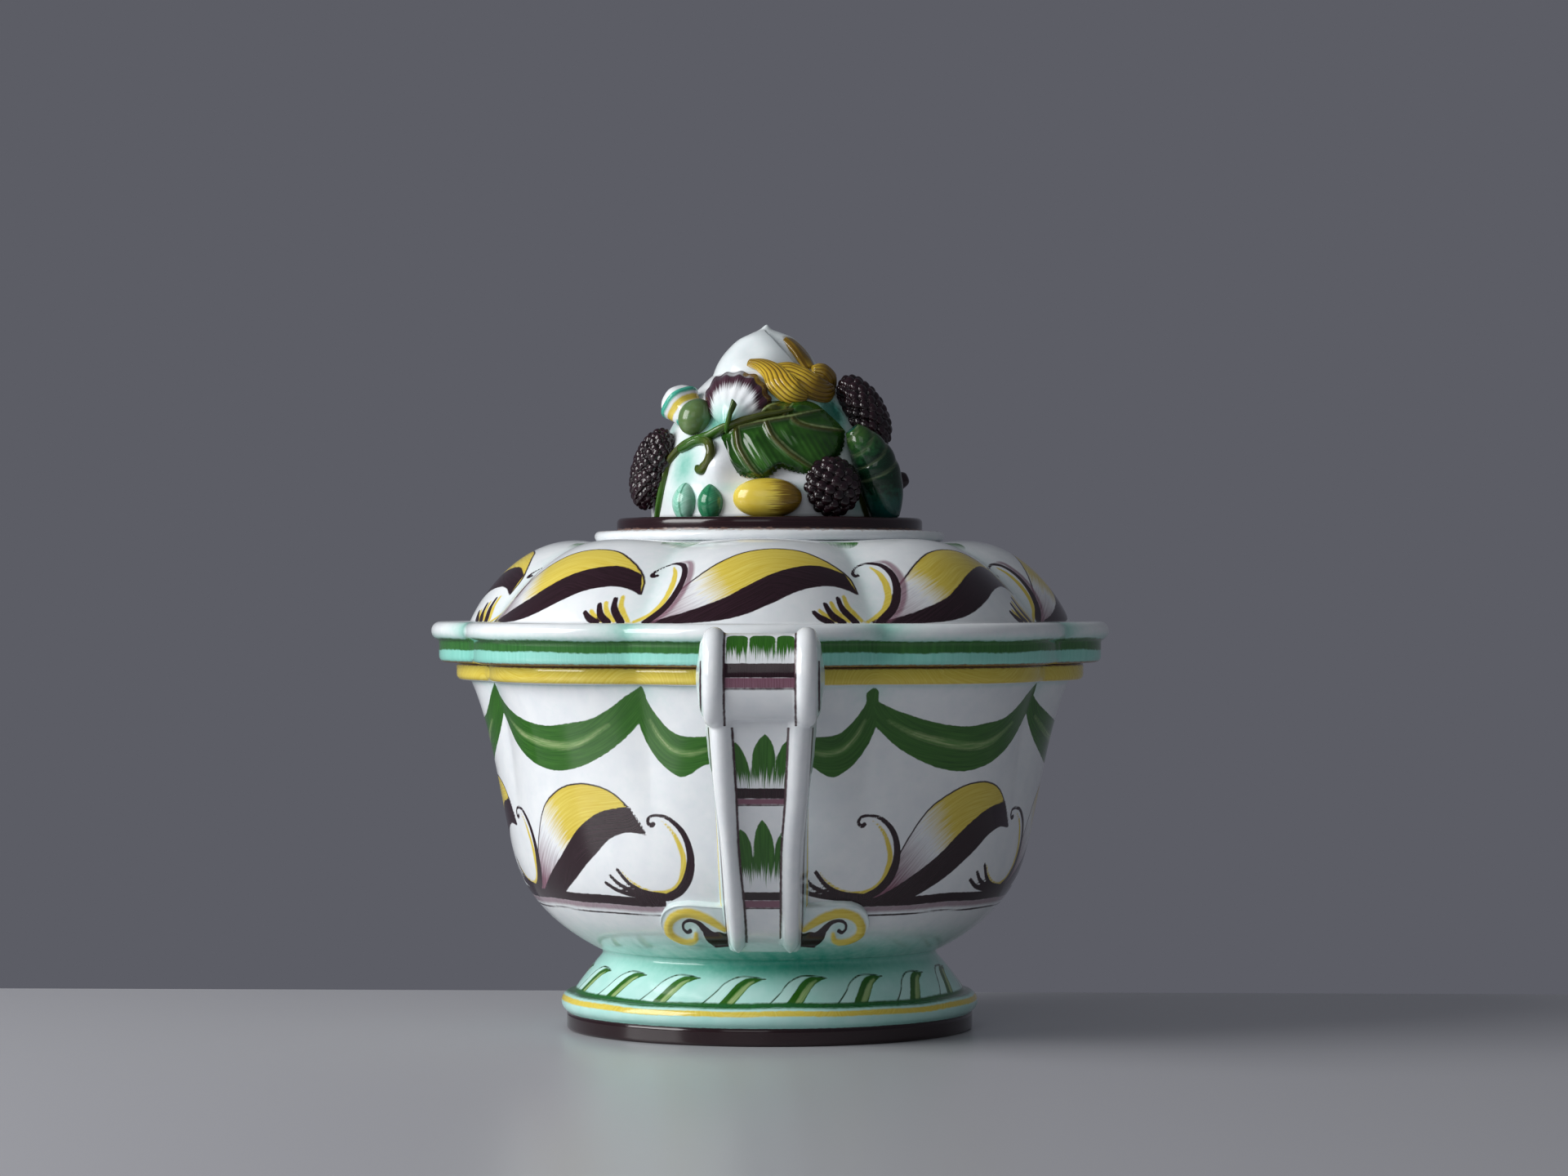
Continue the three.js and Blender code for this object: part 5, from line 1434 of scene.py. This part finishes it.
def stem(side, name, route, widths, rises, lifts):
    """A rolled strand of clay, green with brown where it was brushed thin."""
    rings = strand_rings(side, route, widths, rises, lifts)
    piece = clay(name, rings)
    along = np.repeat(np.arange(len(rings)), len(rings[0]))
    x, rise = seen(side, points_of(piece)[:len(along)])
    brown = np.minimum(3.0 * np.sin(along * 0.09 + 1) + 0.6, np.where(rise > 41, -0.5 * (x + 14), 9.0))
    across = np.tile(np.linspace(0, 5, len(rings[0])), len(rings))
    stroke = np.stack([along * 0.7, across, 0 * along], 1)
    finish(piece, STEM_GLAZE, "green_glaze", brown=brown, stroke=stroke)


SHELL_HINGE = (-19.0, 40.0)
SHELL_EDGE = [
    (-36, 16.7), (-28, 20.6), (-20, 23.4), (-12, 26.4), (-2, 27.4), (9, 28.2), (19, 29.1), (29, 29.4),
    (37, 28.6), (45, 27), (54, 26), (63, 23.4),
]


def shell_flower(side, end):
    """A scallop-edged flower: a white bowl of ribs with a drooping fringe painted in purple brush marks."""
    angles, reaches = np.array(SHELL_EDGE).T
    angle = np.linspace(-42, 68, 170)
    reach = np.interp(angle, angles, reaches)
    ribs = 0.5 + 0.5 * np.cos(np.radians(angle) * 26)
    share = np.linspace(0.04, 1, 60)[None, :]
    spread = reach[:, None] * (1 + 0.035 * ribs[:, None]) * share
    x = SHELL_HINGE[0] + spread * np.sin(np.radians(angle))[:, None]
    rise = SHELL_HINGE[1] + spread * np.cos(np.radians(angle))[:, None]
    rounded = np.sin(np.clip((angle + 42) / 110, 0.0, 1) * math.pi)[:, None] ** 0.55
    belly = np.sin(np.clip(share * 0.93, 0, 1) * math.pi) ** 0.8
    lift = 1.0 + (3.5 + 7.0 * belly) * rounded + 1.1 * ribs[:, None] * smoothstep(share, 0.3, 0.95) * rounded
    lift = lift + 3.0 * smoothstep(share, 0.55, 0.86) * rounded - 4.5 * smoothstep(share, 0.9, 1.0) * rounded
    back = -1.5 - 2.0 * (1 - rounded) + 0 * x
    piece = sheet("finial_shell_flower_" + end, side, x, rise, lift, back)
    x, rise = seen(side, points_of(piece))
    x, rise = x - SHELL_HINGE[0], rise - SHELL_HINGE[1]
    away, turn = np.hypot(x, rise), np.degrees(np.arctan2(x, rise))
    inward = np.interp(turn, angles, reaches) * 1.02 - away
    finish(
        piece, SHELL_GLAZE, "white_glaze",
        fringe=np.where(turn < 58, -3.0, turn - 60),
        fold=np.maximum(46 - turn, 0) * 0.4 - 1.0 + 0.2 * inward,
        stroke=np.stack([inward, np.radians(turn) * 26, 0 * x], 1),
        pool=smoothstep(-away, -19, -2) * 0.8,
    )


def fruit(name, side, azimuth, rise, lift, half, glaze, slot, fields, tip=0.0, turn=0.0, squared=1.0):
    """A fruit: an ellipsoid of across, up and out half sizes, drawn to a blunt tip or a little squared."""
    shape = ball(96, 72)
    blunt = np.sign(shape) * np.abs(shape) ** squared
    draw = 1 - tip * np.maximum(0, shape[..., 1:2]) ** 2
    solid = blunt * half * np.concatenate([draw, np.ones_like(draw), draw], -1)
    piece = clay(name, set_on(side, azimuth, rise, lift, solid, turn))
    finish(piece, glaze, slot, **fields(*(shape.reshape(-1, 3) * half).T[:2], half))


def berry(name, side, azimuth, rise, lift, half, drupelet, turn=0.0):
    """A blackberry: drupelets packed over an ellipsoid, each a smooth bead with a tight groove about it."""
    a, b, c = half
    area = 4 * math.pi * (((a * b) ** 1.6 + (a * c) ** 1.6 + (b * c) ** 1.6) / 3) ** (1 / 1.6)
    count = int(area / (drupelet**2 * 0.87))
    index = np.arange(count) + 0.5
    polar, spin = np.arccos(1 - 2 * index / count), index * math.pi * (1 + 5**0.5)
    seeds = np.stack([np.sin(polar) * np.cos(spin), np.cos(polar), np.sin(polar) * np.sin(spin)], 1) * half
    seeds += rng.normal(0, drupelet * 0.07, seeds.shape)
    shape = ball(190, 150)
    flat = (shape * half).reshape(-1, 3)
    nearest = np.full(len(flat), np.inf)
    for seed in seeds:
        nearest = np.minimum(nearest, np.sum((flat - seed) ** 2, 1))
    bead = np.sqrt(np.maximum(0.02, 1 - nearest / (drupelet * 0.62) ** 2))
    grown = flat * (1 - (drupelet * 0.6) / np.mean(half) * (1 - bead))[:, None]
    piece = clay(name, set_on(side, azimuth, rise, lift, grown.reshape(shape.shape), turn))
    finish(piece, BERRY_GLAZE, "maroon_glaze", groove=(bead - 0.42) * 2)


def nut_fields(x, y, half):
    """Paint fields over a nut, from places across and up it, as the other fruits have."""
    return {"streaks": -(x + 3.0) * 0.5, "stroke": np.stack([16 + x, y * 1.8, 0 * x], 1)}


def almond_fields(emerald):
    def fields(x, y, half):
        return {
            "line": bar_field(x, 1.5, 0.5), "emerald": 3 - 6 * emerald - 0.5 * x,
            "blades": 0.8 * np.abs(x) - 3,
            "stroke": np.stack([x + 5, y * 1.2 - np.abs(x) * 0.8, 0 * x], 1),
        }
    return fields


def olive_fields(x, y, half):
    x = x / half[0]
    return {"bloom": 2.0 * (x + 0.2) - y / half[1], "stroke": np.stack([y, x * 9, 0 * x], 1)}


def bell_flower():
    """A bud with a flared ring and a domed heart, its bands painted in teal and yellow."""
    profile = spaced(smooth([
        (0.5, -9), (5.2, -8.6), (7.2, -4), (8.2, 1.0), (9.4, 4.0), (10.2, 5.6), (9.8, 6.9), (8.8, 7.4),
        (8.2, 9.4), (5.6, 12.4), (0.6, 13.8),
    ]), 0.5)
    turn = azimuths(120)
    radius, level = np.array(profile).T[..., None]
    wave = radius * (1 + 0.03 * np.cos(5 * turn))
    rings = np.stack([wave * np.cos(turn), wave * np.sin(turn), level + 0 * turn], -1)
    axis = unit(np.array([-0.8, 0.5, 0.6]))
    side_way = unit(np.cross(axis, [0, 0, 1.0]))
    solid = rings @ np.stack([side_way, np.cross(axis, side_way), axis])
    piece = clay("finial_bell_flower_left", set_on(FRONT, -58, 49, 1.5, solid))
    radius, level = np.repeat(profile, len(turn), 0).T
    spin = np.tile(turn, len(profile))
    finish(
        piece, BELL_GLAZE, "mint_glaze", rim=bar_field(level, 5.8, 1.5), ring=bar_field(level, 1.4, 1.5),
        spots=bar_field(level, -5, 1.2 - 1.2 * np.sin(6 * spin)),
        stroke=np.stack([radius * spin, level, 0 * spin], 1), pool=smoothstep(-level, 0, 8) * 0.6,
    )


BLOOM_HEART = np.array([-2.0, 0.0, 66.0])


def bloom():
    """The folded white petals that cap the mound like a bell, drawn up to a small point."""
    columns = 240
    profile = spaced(smooth([
        (0.4, 89.9), (5, 89), (10, 87.1), (14.5, 84.4), (20, 78.6), (23.3, 73.6), (25.2, 69), (26.4, 65),
        (26.6, 60), (24, 54), (12, 50), (0.5, 49),
    ]), 0.45) - [0, BLOOM_HEART[2]]
    radius, level = np.repeat(profile, columns, 0).T
    azimuth = np.tile((np.degrees(azimuths(columns)) + 180) % 360 - 180, len(profile))
    polar, turn = np.arctan2(radius, level), np.radians(azimuth)
    lean = np.degrees(polar)

    def off(place):
        return (azimuth - place + 180) % 360 - 180

    folds = np.zeros(len(polar))
    for start, leaning, deep in ((21, 32, 1.5), (160, 30, 1), (-115, -24, 1)):
        across = np.radians(off(start + leaning * (polar - 0.6))) * np.sin(polar)
        step = smoothstep(across, -0.06, 0.02) * np.exp(-np.maximum(0, across) * 4.4)
        folds += deep * step * smoothstep(polar, 0.1, 0.45) * smoothstep(-polar, -1.9, -1.3)
    hollow = blot(azimuth, lean, (-17, 58), (22, 14)) + blot(azimuth, lean, (178, 58), (24, 15))
    size = 1 + 0.03 * np.cos(turn * 3 + 1) * np.sin(polar) - 0.085 * folds - 0.06 * hollow
    solid = np.stack([radius * np.sin(turn), -0.94 * radius * np.cos(turn), level], 1) * size[:, None]
    tip = 2.0 * np.exp(-((polar / 0.085) ** 2))[:, None] * [0.3, 0.0, 1.0]
    solid += BLOOM_HEART + [0, 0, MOUND_FOOT] + tip
    solid[:, 2] = np.minimum(solid[:, 2], cad_high[2] / MM - 0.05)
    piece = clay("finial_bloom", solid.reshape(len(profile), columns, 3))
    patch = np.minimum.reduce([8 * (np.hypot(off(place) / 19, (lean - 52) / 24) - 1) for place in (64, -118)])
    stroke = np.stack([lean * 0.35, azimuth * 0.35, 0 * polar], 1)
    finish(piece, BLOOM_GLAZE, "white_glaze", patch=patch, stroke=stroke, pool=0.12 + 0 * polar)


def tuft(name, ropes):
    """Bundles of silky strands in yellow, grooved and with brown drawn between them."""
    turn = azimuths(136)
    points, faces, lines, strokes = [], [], [], []
    for route, widths, depths, strands, twist in ropes:

        def size(share):
            groove = 1 - 0.09 * np.abs(np.sin((turn + twist * share) * strands / 2)) ** 6
            groove -= 0.05 * np.sin(turn * 3 + 5 * share)
            return between(share, widths) / 2 * groove, between(share, depths) / 2 * groove

        rings = tube_rings(spaced(smooth(route), 0.7), 50.0, turn, size)
        start = sum(len(p) for p in points)
        points.append(skin_points(rings))
        faces += [[start + i for i in face] for face in skin_faces(rings)]
        along = np.repeat(np.linspace(0, 1, len(rings)), len(turn))
        phase = (np.tile(turn, len(rings)) + twist * along) * strands / 2
        stroke = np.stack([along * lengths(route)[-1], phase * 1.1, 0 * phase], 1)
        lines += [1.0 - 1.9 * np.abs(np.sin(phase)) ** 5, [0.5, 0.5]]
        strokes += [stroke, stroke[:1], stroke[-1:]]
    piece = make_mesh(name + "_clay", np.vstack(points), faces, "lid", name)
    x, rise = seen(FRONT, points_of(piece))
    # Painted shade: brown over the parts of the tufts furthest right, the upper ridge among them, on the side
    # away from the lamp
    brown = np.minimum(19 - x + 0.3 * (rise - 60), bar_field(rise, 80, 8))
    line, stroke = np.concatenate(lines), np.vstack(strokes)
    finish(piece, TUFT_GLAZE, "yellow_glaze", line=line, brown=brown, stroke=stroke)


def front_path(triples):
    """Places in front of the mound from [x, rise, lift], as they are seen from the front."""
    x, rise, lift = np.array(triples, float).T
    return in_front(FRONT, x, rise, lift)


def tufts():
    """The lower tuft with its fall and its drape, and the upper one with its ridge and its knot."""
    fall = front_path([
        (-8.5, 73, 5), (-2.8, 71.6, 5), (2.9, 67.6, 4.5), (7.2, 62, 4.5), (12.8, 57.8, 4), (18.5, 56.3, 2),
    ])
    drape = front_path([
        (2, 69.4, 4), (10, 68.2, 5), (15.7, 64.9, 5), (20.9, 61.1, 5), (26.1, 59.2, 4), (30, 60.1, 2),
    ])
    foot = [0, 0, MOUND_FOOT]
    ridge = np.array([(7.5, -6.5, 84.4), (12, -8.4, 80.4), (16, -10, 75.5), (19.5, -12, 70)]) + foot
    knot = np.array([(21, -18, 69), (25, -16.5, 68.5), (28.2, -14.5, 65.5), (29.6, -12, 61)]) + foot
    tuft("finial_tuft_lower", [
        (fall, [4.5, 8, 11, 14, 13, 6], [2.5, 4, 6.5, 8.5, 8, 4], 17, 0.9),
        (drape, [6, 11, 13, 13, 11, 6], [2.5, 6, 8, 8.5, 7, 4], 15, -0.8),
    ])
    tuft("finial_tuft_upper", [
        (ridge, [4, 9, 10, 8], [3, 4.6, 5, 5], 4, 0.3),
        (knot, [6, 11, 11, 6], [5, 8, 8, 5], 12, 0.6),
    ])


def pod():
    """A ribbed green pod that curls down the mound's right side."""
    places = [(46, 38), (51, 31.8), (55.3, 25.4), (57.8, 18.5), (59.6, 11.5), (60.6, 5.4), (61.5, 0)]
    path = spaced(smooth(on_mound(FRONT, *np.array(places).T, 7.5)), 0.8)
    turn = azimuths(96)

    def ribs(share, spin):
        return np.abs(np.sin(math.pi * (6 * share - 0.32 * np.cos(spin))))

    def size(share):
        girth = 10.2 * math.sin(math.pi * (0.04 + 0.84 * share)) ** 0.5
        girth = girth * (1 + 0.075 * (ribs(share, turn) ** 0.6 - 0.6) * smoothstep(-share, -0.75, -0.4))
        return girth, girth

    rings = tube_rings(path, 26.7, turn, size)
    piece = clay("finial_pod_right", [above_disc(ring) for ring in rings])
    spin, along = np.tile(turn, len(path)), np.repeat(np.linspace(0, 1, len(path)), len(turn))
    groove = 0.9 - 1.8 * (1 - ribs(along, spin)) ** 2
    finish(
        piece, POD_GLAZE, "green_glaze",
        groove=np.where(along < 0.6, groove, 1.0),
        mottle=1.5 - 3.0 * np.exp(-((along - 0.5) / 0.3) ** 2),
        top=(along - 0.22) * 20,
        stroke=np.stack([spin * 8, along * 40, 0 * spin], 1),
        pool=smoothstep(along, 0.55, 1.0),
    )


def fig():
    """A dark fig with its short stalk standing out of the side."""
    shape = ball(110, 90)
    away = np.arccos(np.clip(shape @ unit(np.array([0, 0.3, 1.0])), -1, 1))
    turn = np.arctan2(shape[..., 0], shape[..., 1])
    size = 14 * (1 + 0.34 * np.exp(-((away / 0.26) ** 4)) + 0.012 * np.cos(9 * turn) * np.sin(away))
    piece = clay("finial_fig_right", set_on(FRONT, 92, 13, -7, shape * size[..., None]))
    finish(piece, BERRY_GLAZE, "maroon_glaze", groove=1 + 0 * away.ravel())


# Deep green glaze, darkest along the knife-cut edge, brownish over the veins with a painted highlight, a pale
# line, beside each
LEAF_GLAZE = glazed("leaf", ("#1b430f", "#356420"), [
    Coat("dark", ("#0f300c", "#0b2009"), fade=(0.2, 6.0, 9), soft=1.2, cover=0.9),
    Coat("curl", ("#6e6c33", "#4c5a20"), soft=2.0, cover=0.8),
    Coat("veins", ("#3a3816", "#55521f"), soft=0.7, cover=0.85),
    Coat("shine", ("#b9c98f", "#8fae68"), soft=0.3, cover=0.6),
], roughness=FINIAL_GLOSS)
# Copper green glaze brushed on rolled clay, brown where it was thin
STEM_GLAZE = glazed("stem", ("#284f14", "#447024"), [
    Coat("brown", ("#46421c", "#5a4c22"), soft=2.0, cover=0.65),
], roughness=FINIAL_GLOSS)
# White glaze, olive in the folds, with loose purple brush marks along the fringe
SHELL_GLAZE = glazed("shell_flower", WHITE, [
    Coat("fold", ("#8a7b45", "#6d5c36"), soft=2.0, cover=0.7),
    Coat("fringe", ("#331a22", "#573543"), fade=(9.0, 5.5, 11), wobble=1.0),
], TEAL, roughness=FINIAL_GLOSS)
# Yellow glaze, streaked brown at one end by a nearly dry brush
NUT_GLAZE = glazed("nut", ("#e3cf5c", "#d9bd3f"), [
    Coat("streaks", ("#50340f", "#86621c"), fade=(18, 22, 36), soft=2.0, cover=0.9),
], roughness=FINIAL_GLOSS)
# Dull grey-green glaze with a deeper green brushed over its top and one side
OLIVE_GLAZE = glazed("olive", ("#55703f", "#6b8350"), [
    Coat("bloom", ("#35603a", "#2b5a2f"), soft=1.6, cover=0.7),
], TEAL, roughness=FINIAL_GLOSS)
# Pale glaze washed with emerald in soft blades, with a dark seam down the middle
ALMOND_GLAZE = glazed("almond", ("#dff2ee", "#c4eadf"), [
    Coat("blades", ("#3fae86", "#9fe0cc"), soft=1.6, cover=0.8, streaks=(0.4, 0.6)),
    Coat("emerald", ("#0a5a34", "#1f8a58"), soft=1.4, cover=0.92),
    Coat("line", ("#1b6b45", "#12513a"), soft=0.4, cover=0.8),
], TEAL)
# Manganese glaze, a nearly black maroon that shows as a wet point of light on each bead
BERRY_GLAZE = glazed("berry", ("#150a0d", "#2c1920"), [
    Coat("groove", ("#070304", "#0e0608"), soft=0.5, wobble=0.3),
], roughness=0.13)
# White glaze with hand-drawn bands of yellow and turquoise round the flower
BELL_GLAZE = glazed("bell_flower", WHITE, [
    Coat("ring", YELLOW, soft=0.4),
    Coat("rim", ("#2f9e86", "#5cc2aa"), soft=0.5),
    Coat("spots", ("#2f9e86", "#5cc2aa"), soft=0.6),
], TEAL)
# White glaze with a faint mint cast, and patches of ochre dabbed on in short strokes
BLOOM_GLAZE = glazed("bloom", WHITE, [
    Coat("patch", ("#5d430f", "#a8862a"), soft=1.6, wobble=2.0, streaks=(0.38, 0.62), cover=0.92),
], MINT, roughness=FINIAL_GLOSS)
# Warm yellow glaze over combed clay, with brown drawn down the grooves and brown painted shade over the right
# side
TUFT_GLAZE = glazed("tuft", ("#dcbd3c", "#caa32c"), [
    Coat("brown", ("#513709", "#7d5f18"), soft=4.0, cover=0.85),
    Coat("line", ("#4d3410", "#8a6a1c"), soft=0.4, wobble=0.9, cover=0.9),
], roughness=FINIAL_GLOSS)
# Dark bottle-green glaze, mottled nearly black, run to teal at the pod's low end
POD_GLAZE = glazed("pod", ("#17402a", "#1f5a35"), [
    Coat("top", ("#3c5a24", "#24451a"), soft=3.0, cover=0.85),
    Coat("mottle", ("#0a1a12", "#10281b"), wobble=4.5, soft=0.8, cover=0.85),
    Coat("groove", ("#7f8f6a", "#0d2414"), soft=0.4, cover=0.5),
], ("#0e5a50", "#0a3d3a"))

STEM_ROUTE = [
    (-66.4, 0.2), (-64.6, 5.5), (-62.4, 12), (-60.2, 19), (-59.2, 25.4), (-54.2, 30), (-48.9, 33.4),
    (-42, 35.5), (-36, 36.5), (-30.5, 37.2), (-25.4, 38.8), (-17, 41.4), (-8, 43.4), (-1, 44.9), (7, 46),
    (15.5, 47.2),
]
CURL_ROUTE = [
    (-50.5, 31.5), (-44.7, 33), (-41.3, 34.4), (-37.3, 35.2), (-32.2, 34.6), (-27.6, 32), (-25.6, 28),
    (-27.4, 24.4), (-30.8, 22), (-33.8, 21.6), (-34.7, 23.4),
]
TWIG_ROUTE = [(-21.5, 38.6), (-18, 41), (-15.8, 43.8), (-14.4, 46.4)]
FRUITS = {  # azimuth, rise, lift, half sizes, glaze, slot and fields, then the details of its form
    "nut": (
        (1.6, 8.6, 0.5, (16, 9.2, 9.5), NUT_GLAZE, "yellow_glaze", nut_fields), {"squared": 0.92},
    ),
    "olive": (
        (-43.2, 45.2, 3.5, (7.7, 9.2, 7.7), OLIVE_GLAZE, "green_glaze", olive_fields),
        {"tip": 0.2, "turn": -0.15},
    ),
    "almond_outer": (
        (-42, 7.2, 0.5, (6.6, 8.8, 5.2), ALMOND_GLAZE, "emerald_glaze", almond_fields(0.15)), {"tip": 0.35},
    ),
    "almond_inner": (
        (-26.6, 6.8, 0.5, (6.2, 8.6, 5.6), ALMOND_GLAZE, "emerald_glaze", almond_fields(1.0)), {"tip": 0.35},
    ),
}


def finial():
    """The mound and all that is modelled on it, much of it twice, for the front and the rear."""
    mound()
    for side, end in ((FRONT, "front"), (REAR, "rear")):
        leaf(side, end)
        stem(
            side, "finial_stem_" + end, STEM_ROUTE, [2.2, 2.6, 3.0, 3.2, 3.8, 3.8, 3.4, 2.6, 1.9, 1.0],
            [2.2, 2.6, 3.0, 3.2, 2.4, 1.2], [0, 0, 0, 0, 0.5, 3.0, 4.3, 4.6, 5.0],
        )
        shell_flower(side, end)
        for name, (about, form) in FRUITS.items():
            fruit(f"finial_{name}_{end}", side, *about, **form)
        berry("finial_berry_" + end, side, 33, 13.8, 2, (14.6, 14.5, 11), 5.6)
    stem(
        FRONT, "finial_tendril_front", CURL_ROUTE, [3.2, 3.4, 3.6, 4.0, 4.2, 4.4, 4.4, 5.2, 5.6, 3.2],
        [2.6, 2.8, 3.0, 3.0, 3.0, 3.2, 3.6, 3.8, 2.2],
        [0.3 + 0.95 * swelling(*place) for place in CURL_ROUTE],
    )
    stem(FRONT, "finial_twig_front", TWIG_ROUTE, [2.8, 2.2, 2.0, 3.0], [2.4, 2.2, 2.2, 2.6], [1.5, 7, 11, 13])
    bell_flower()
    bloom()
    tufts()
    pod()
    fig()
    berry("finial_berry_left", FRONT, -72, 22.4, 3, (13.2, 20.5, 10.5), 4.3, turn=-0.35)
    berry("finial_berry_right", FRONT, 70, 47.4, 4.5, (12.5, 20, 10.5), 5.0)


# Stage: a pale grey table, a plain grey backdrop, soft studio light, and the camera

TABLE_SIZE = (4.0, 2.4, 1.0)
TABLE_EDGE = 0.185  # how far the table goes on behind the tureen's middle
TABLE_COLOUR, TABLE_GLOSS = "#bbbbc0", 0.3
BACKDROP = "#5c5d65"  # what the camera and the reflections see
SURROUNDINGS = "#cfd3da"  # what lights the object from all round
FILL = 0.24  # how bright the surroundings are as light, beside the backdrop


def stage():
    """A pale grey table whose far edge stands a hand's breadth behind the tureen."""
    bpy.ops.mesh.primitive_plane_add(size=1)
    table = bpy.context.object
    table.name = "table"
    table.scale = TABLE_SIZE
    table.location = (0, TABLE_EDGE - TABLE_SIZE[1] / 2, 0)
    paint = bpy.data.materials.new("painted_table")
    paint.use_nodes = True
    shader = paint.node_tree.nodes["Principled BSDF"]
    shader.inputs["Base Color"].default_value = linear(TABLE_COLOUR)
    shader.inputs["Roughness"].default_value = TABLE_GLOSS
    table.data.materials.append(paint)


def softbox(name, place, aim, size, watts):
    """A soft white rectangular lamp at a place, aimed at another."""
    lamp = bpy.data.lights.new(name, "AREA")
    lamp.shape = "RECTANGLE"
    lamp.size, lamp.size_y = size
    lamp.energy = watts
    holder = bpy.data.objects.new(name, lamp)
    holder.location = place
    way = np.array(aim) - np.array(place)
    holder.rotation_mode = "QUATERNION"
    holder.rotation_quaternion = Vector(way).to_track_quat("-Z", "Y")
    bpy.context.scene.collection.objects.link(holder)


def light():
    """One large soft lamp from the left, a weak one from the front, and a plain grey backdrop all round."""
    softbox("key", (-1.78, -0.8, 1.0), (0, 0, 0.17), (1.4, 1.4), 50)
    softbox("front", (-0.5, -2.5, 1.2), (0, 0, 0.15), (1.2, 1.2), 4)
    world = bpy.data.worlds.new("studio")
    world.use_nodes = True
    tree = world.node_tree
    shown = add(tree, "LightPath", output="Is Camera Ray")
    for name in ("Is Glossy Ray", "Is Transmission Ray"):
        ray = add(tree, "LightPath", output=name)
        shown = add(tree, "Math", {0: shown, 1: ray}, operation="MAXIMUM")
    sockets = {"Factor": shown, 6: linear(SURROUNDINGS), 7: linear(BACKDROP)}
    background = tree.nodes["Background"].inputs
    tree.links.new(add(tree, "Mix", sockets, 2, data_type="RGBA"), background["Color"])
    strength = add(tree, "Math", {0: shown, 1: 1 - FILL, 2: FILL}, operation="MULTIPLY_ADD")
    tree.links.new(strength, background["Strength"])
    bpy.context.scene.world = world
    bpy.context.scene.view_settings.view_transform = "Standard"


def camera():
    """Level with the lid's dome, a little to the right of the front, as the photograph was taken."""
    lens, sensor = 102.7, 36.0
    distance, height, aside = 2.122, 0.208, 0.0068
    turn = math.radians(2.4)
    data = bpy.data.cameras.new("camera")
    data.lens, data.sensor_width = lens, sensor
    holder = bpy.data.objects.new("camera", data)
    holder.location = (
        math.sin(turn) * distance + math.cos(turn) * aside,
        -math.cos(turn) * distance + math.sin(turn) * aside,
        height,
    )
    holder.rotation_euler = (math.pi / 2, 0, turn)
    bpy.context.scene.collection.objects.link(holder)
    bpy.context.scene.camera = holder


camera()
light()
stage()
foot()
bowl()
lid()
plinth()
for end, turn in (("front", HANDLE_TURN), ("rear", HANDLE_TURN + math.pi)):
    handle(end, turn)
finial()
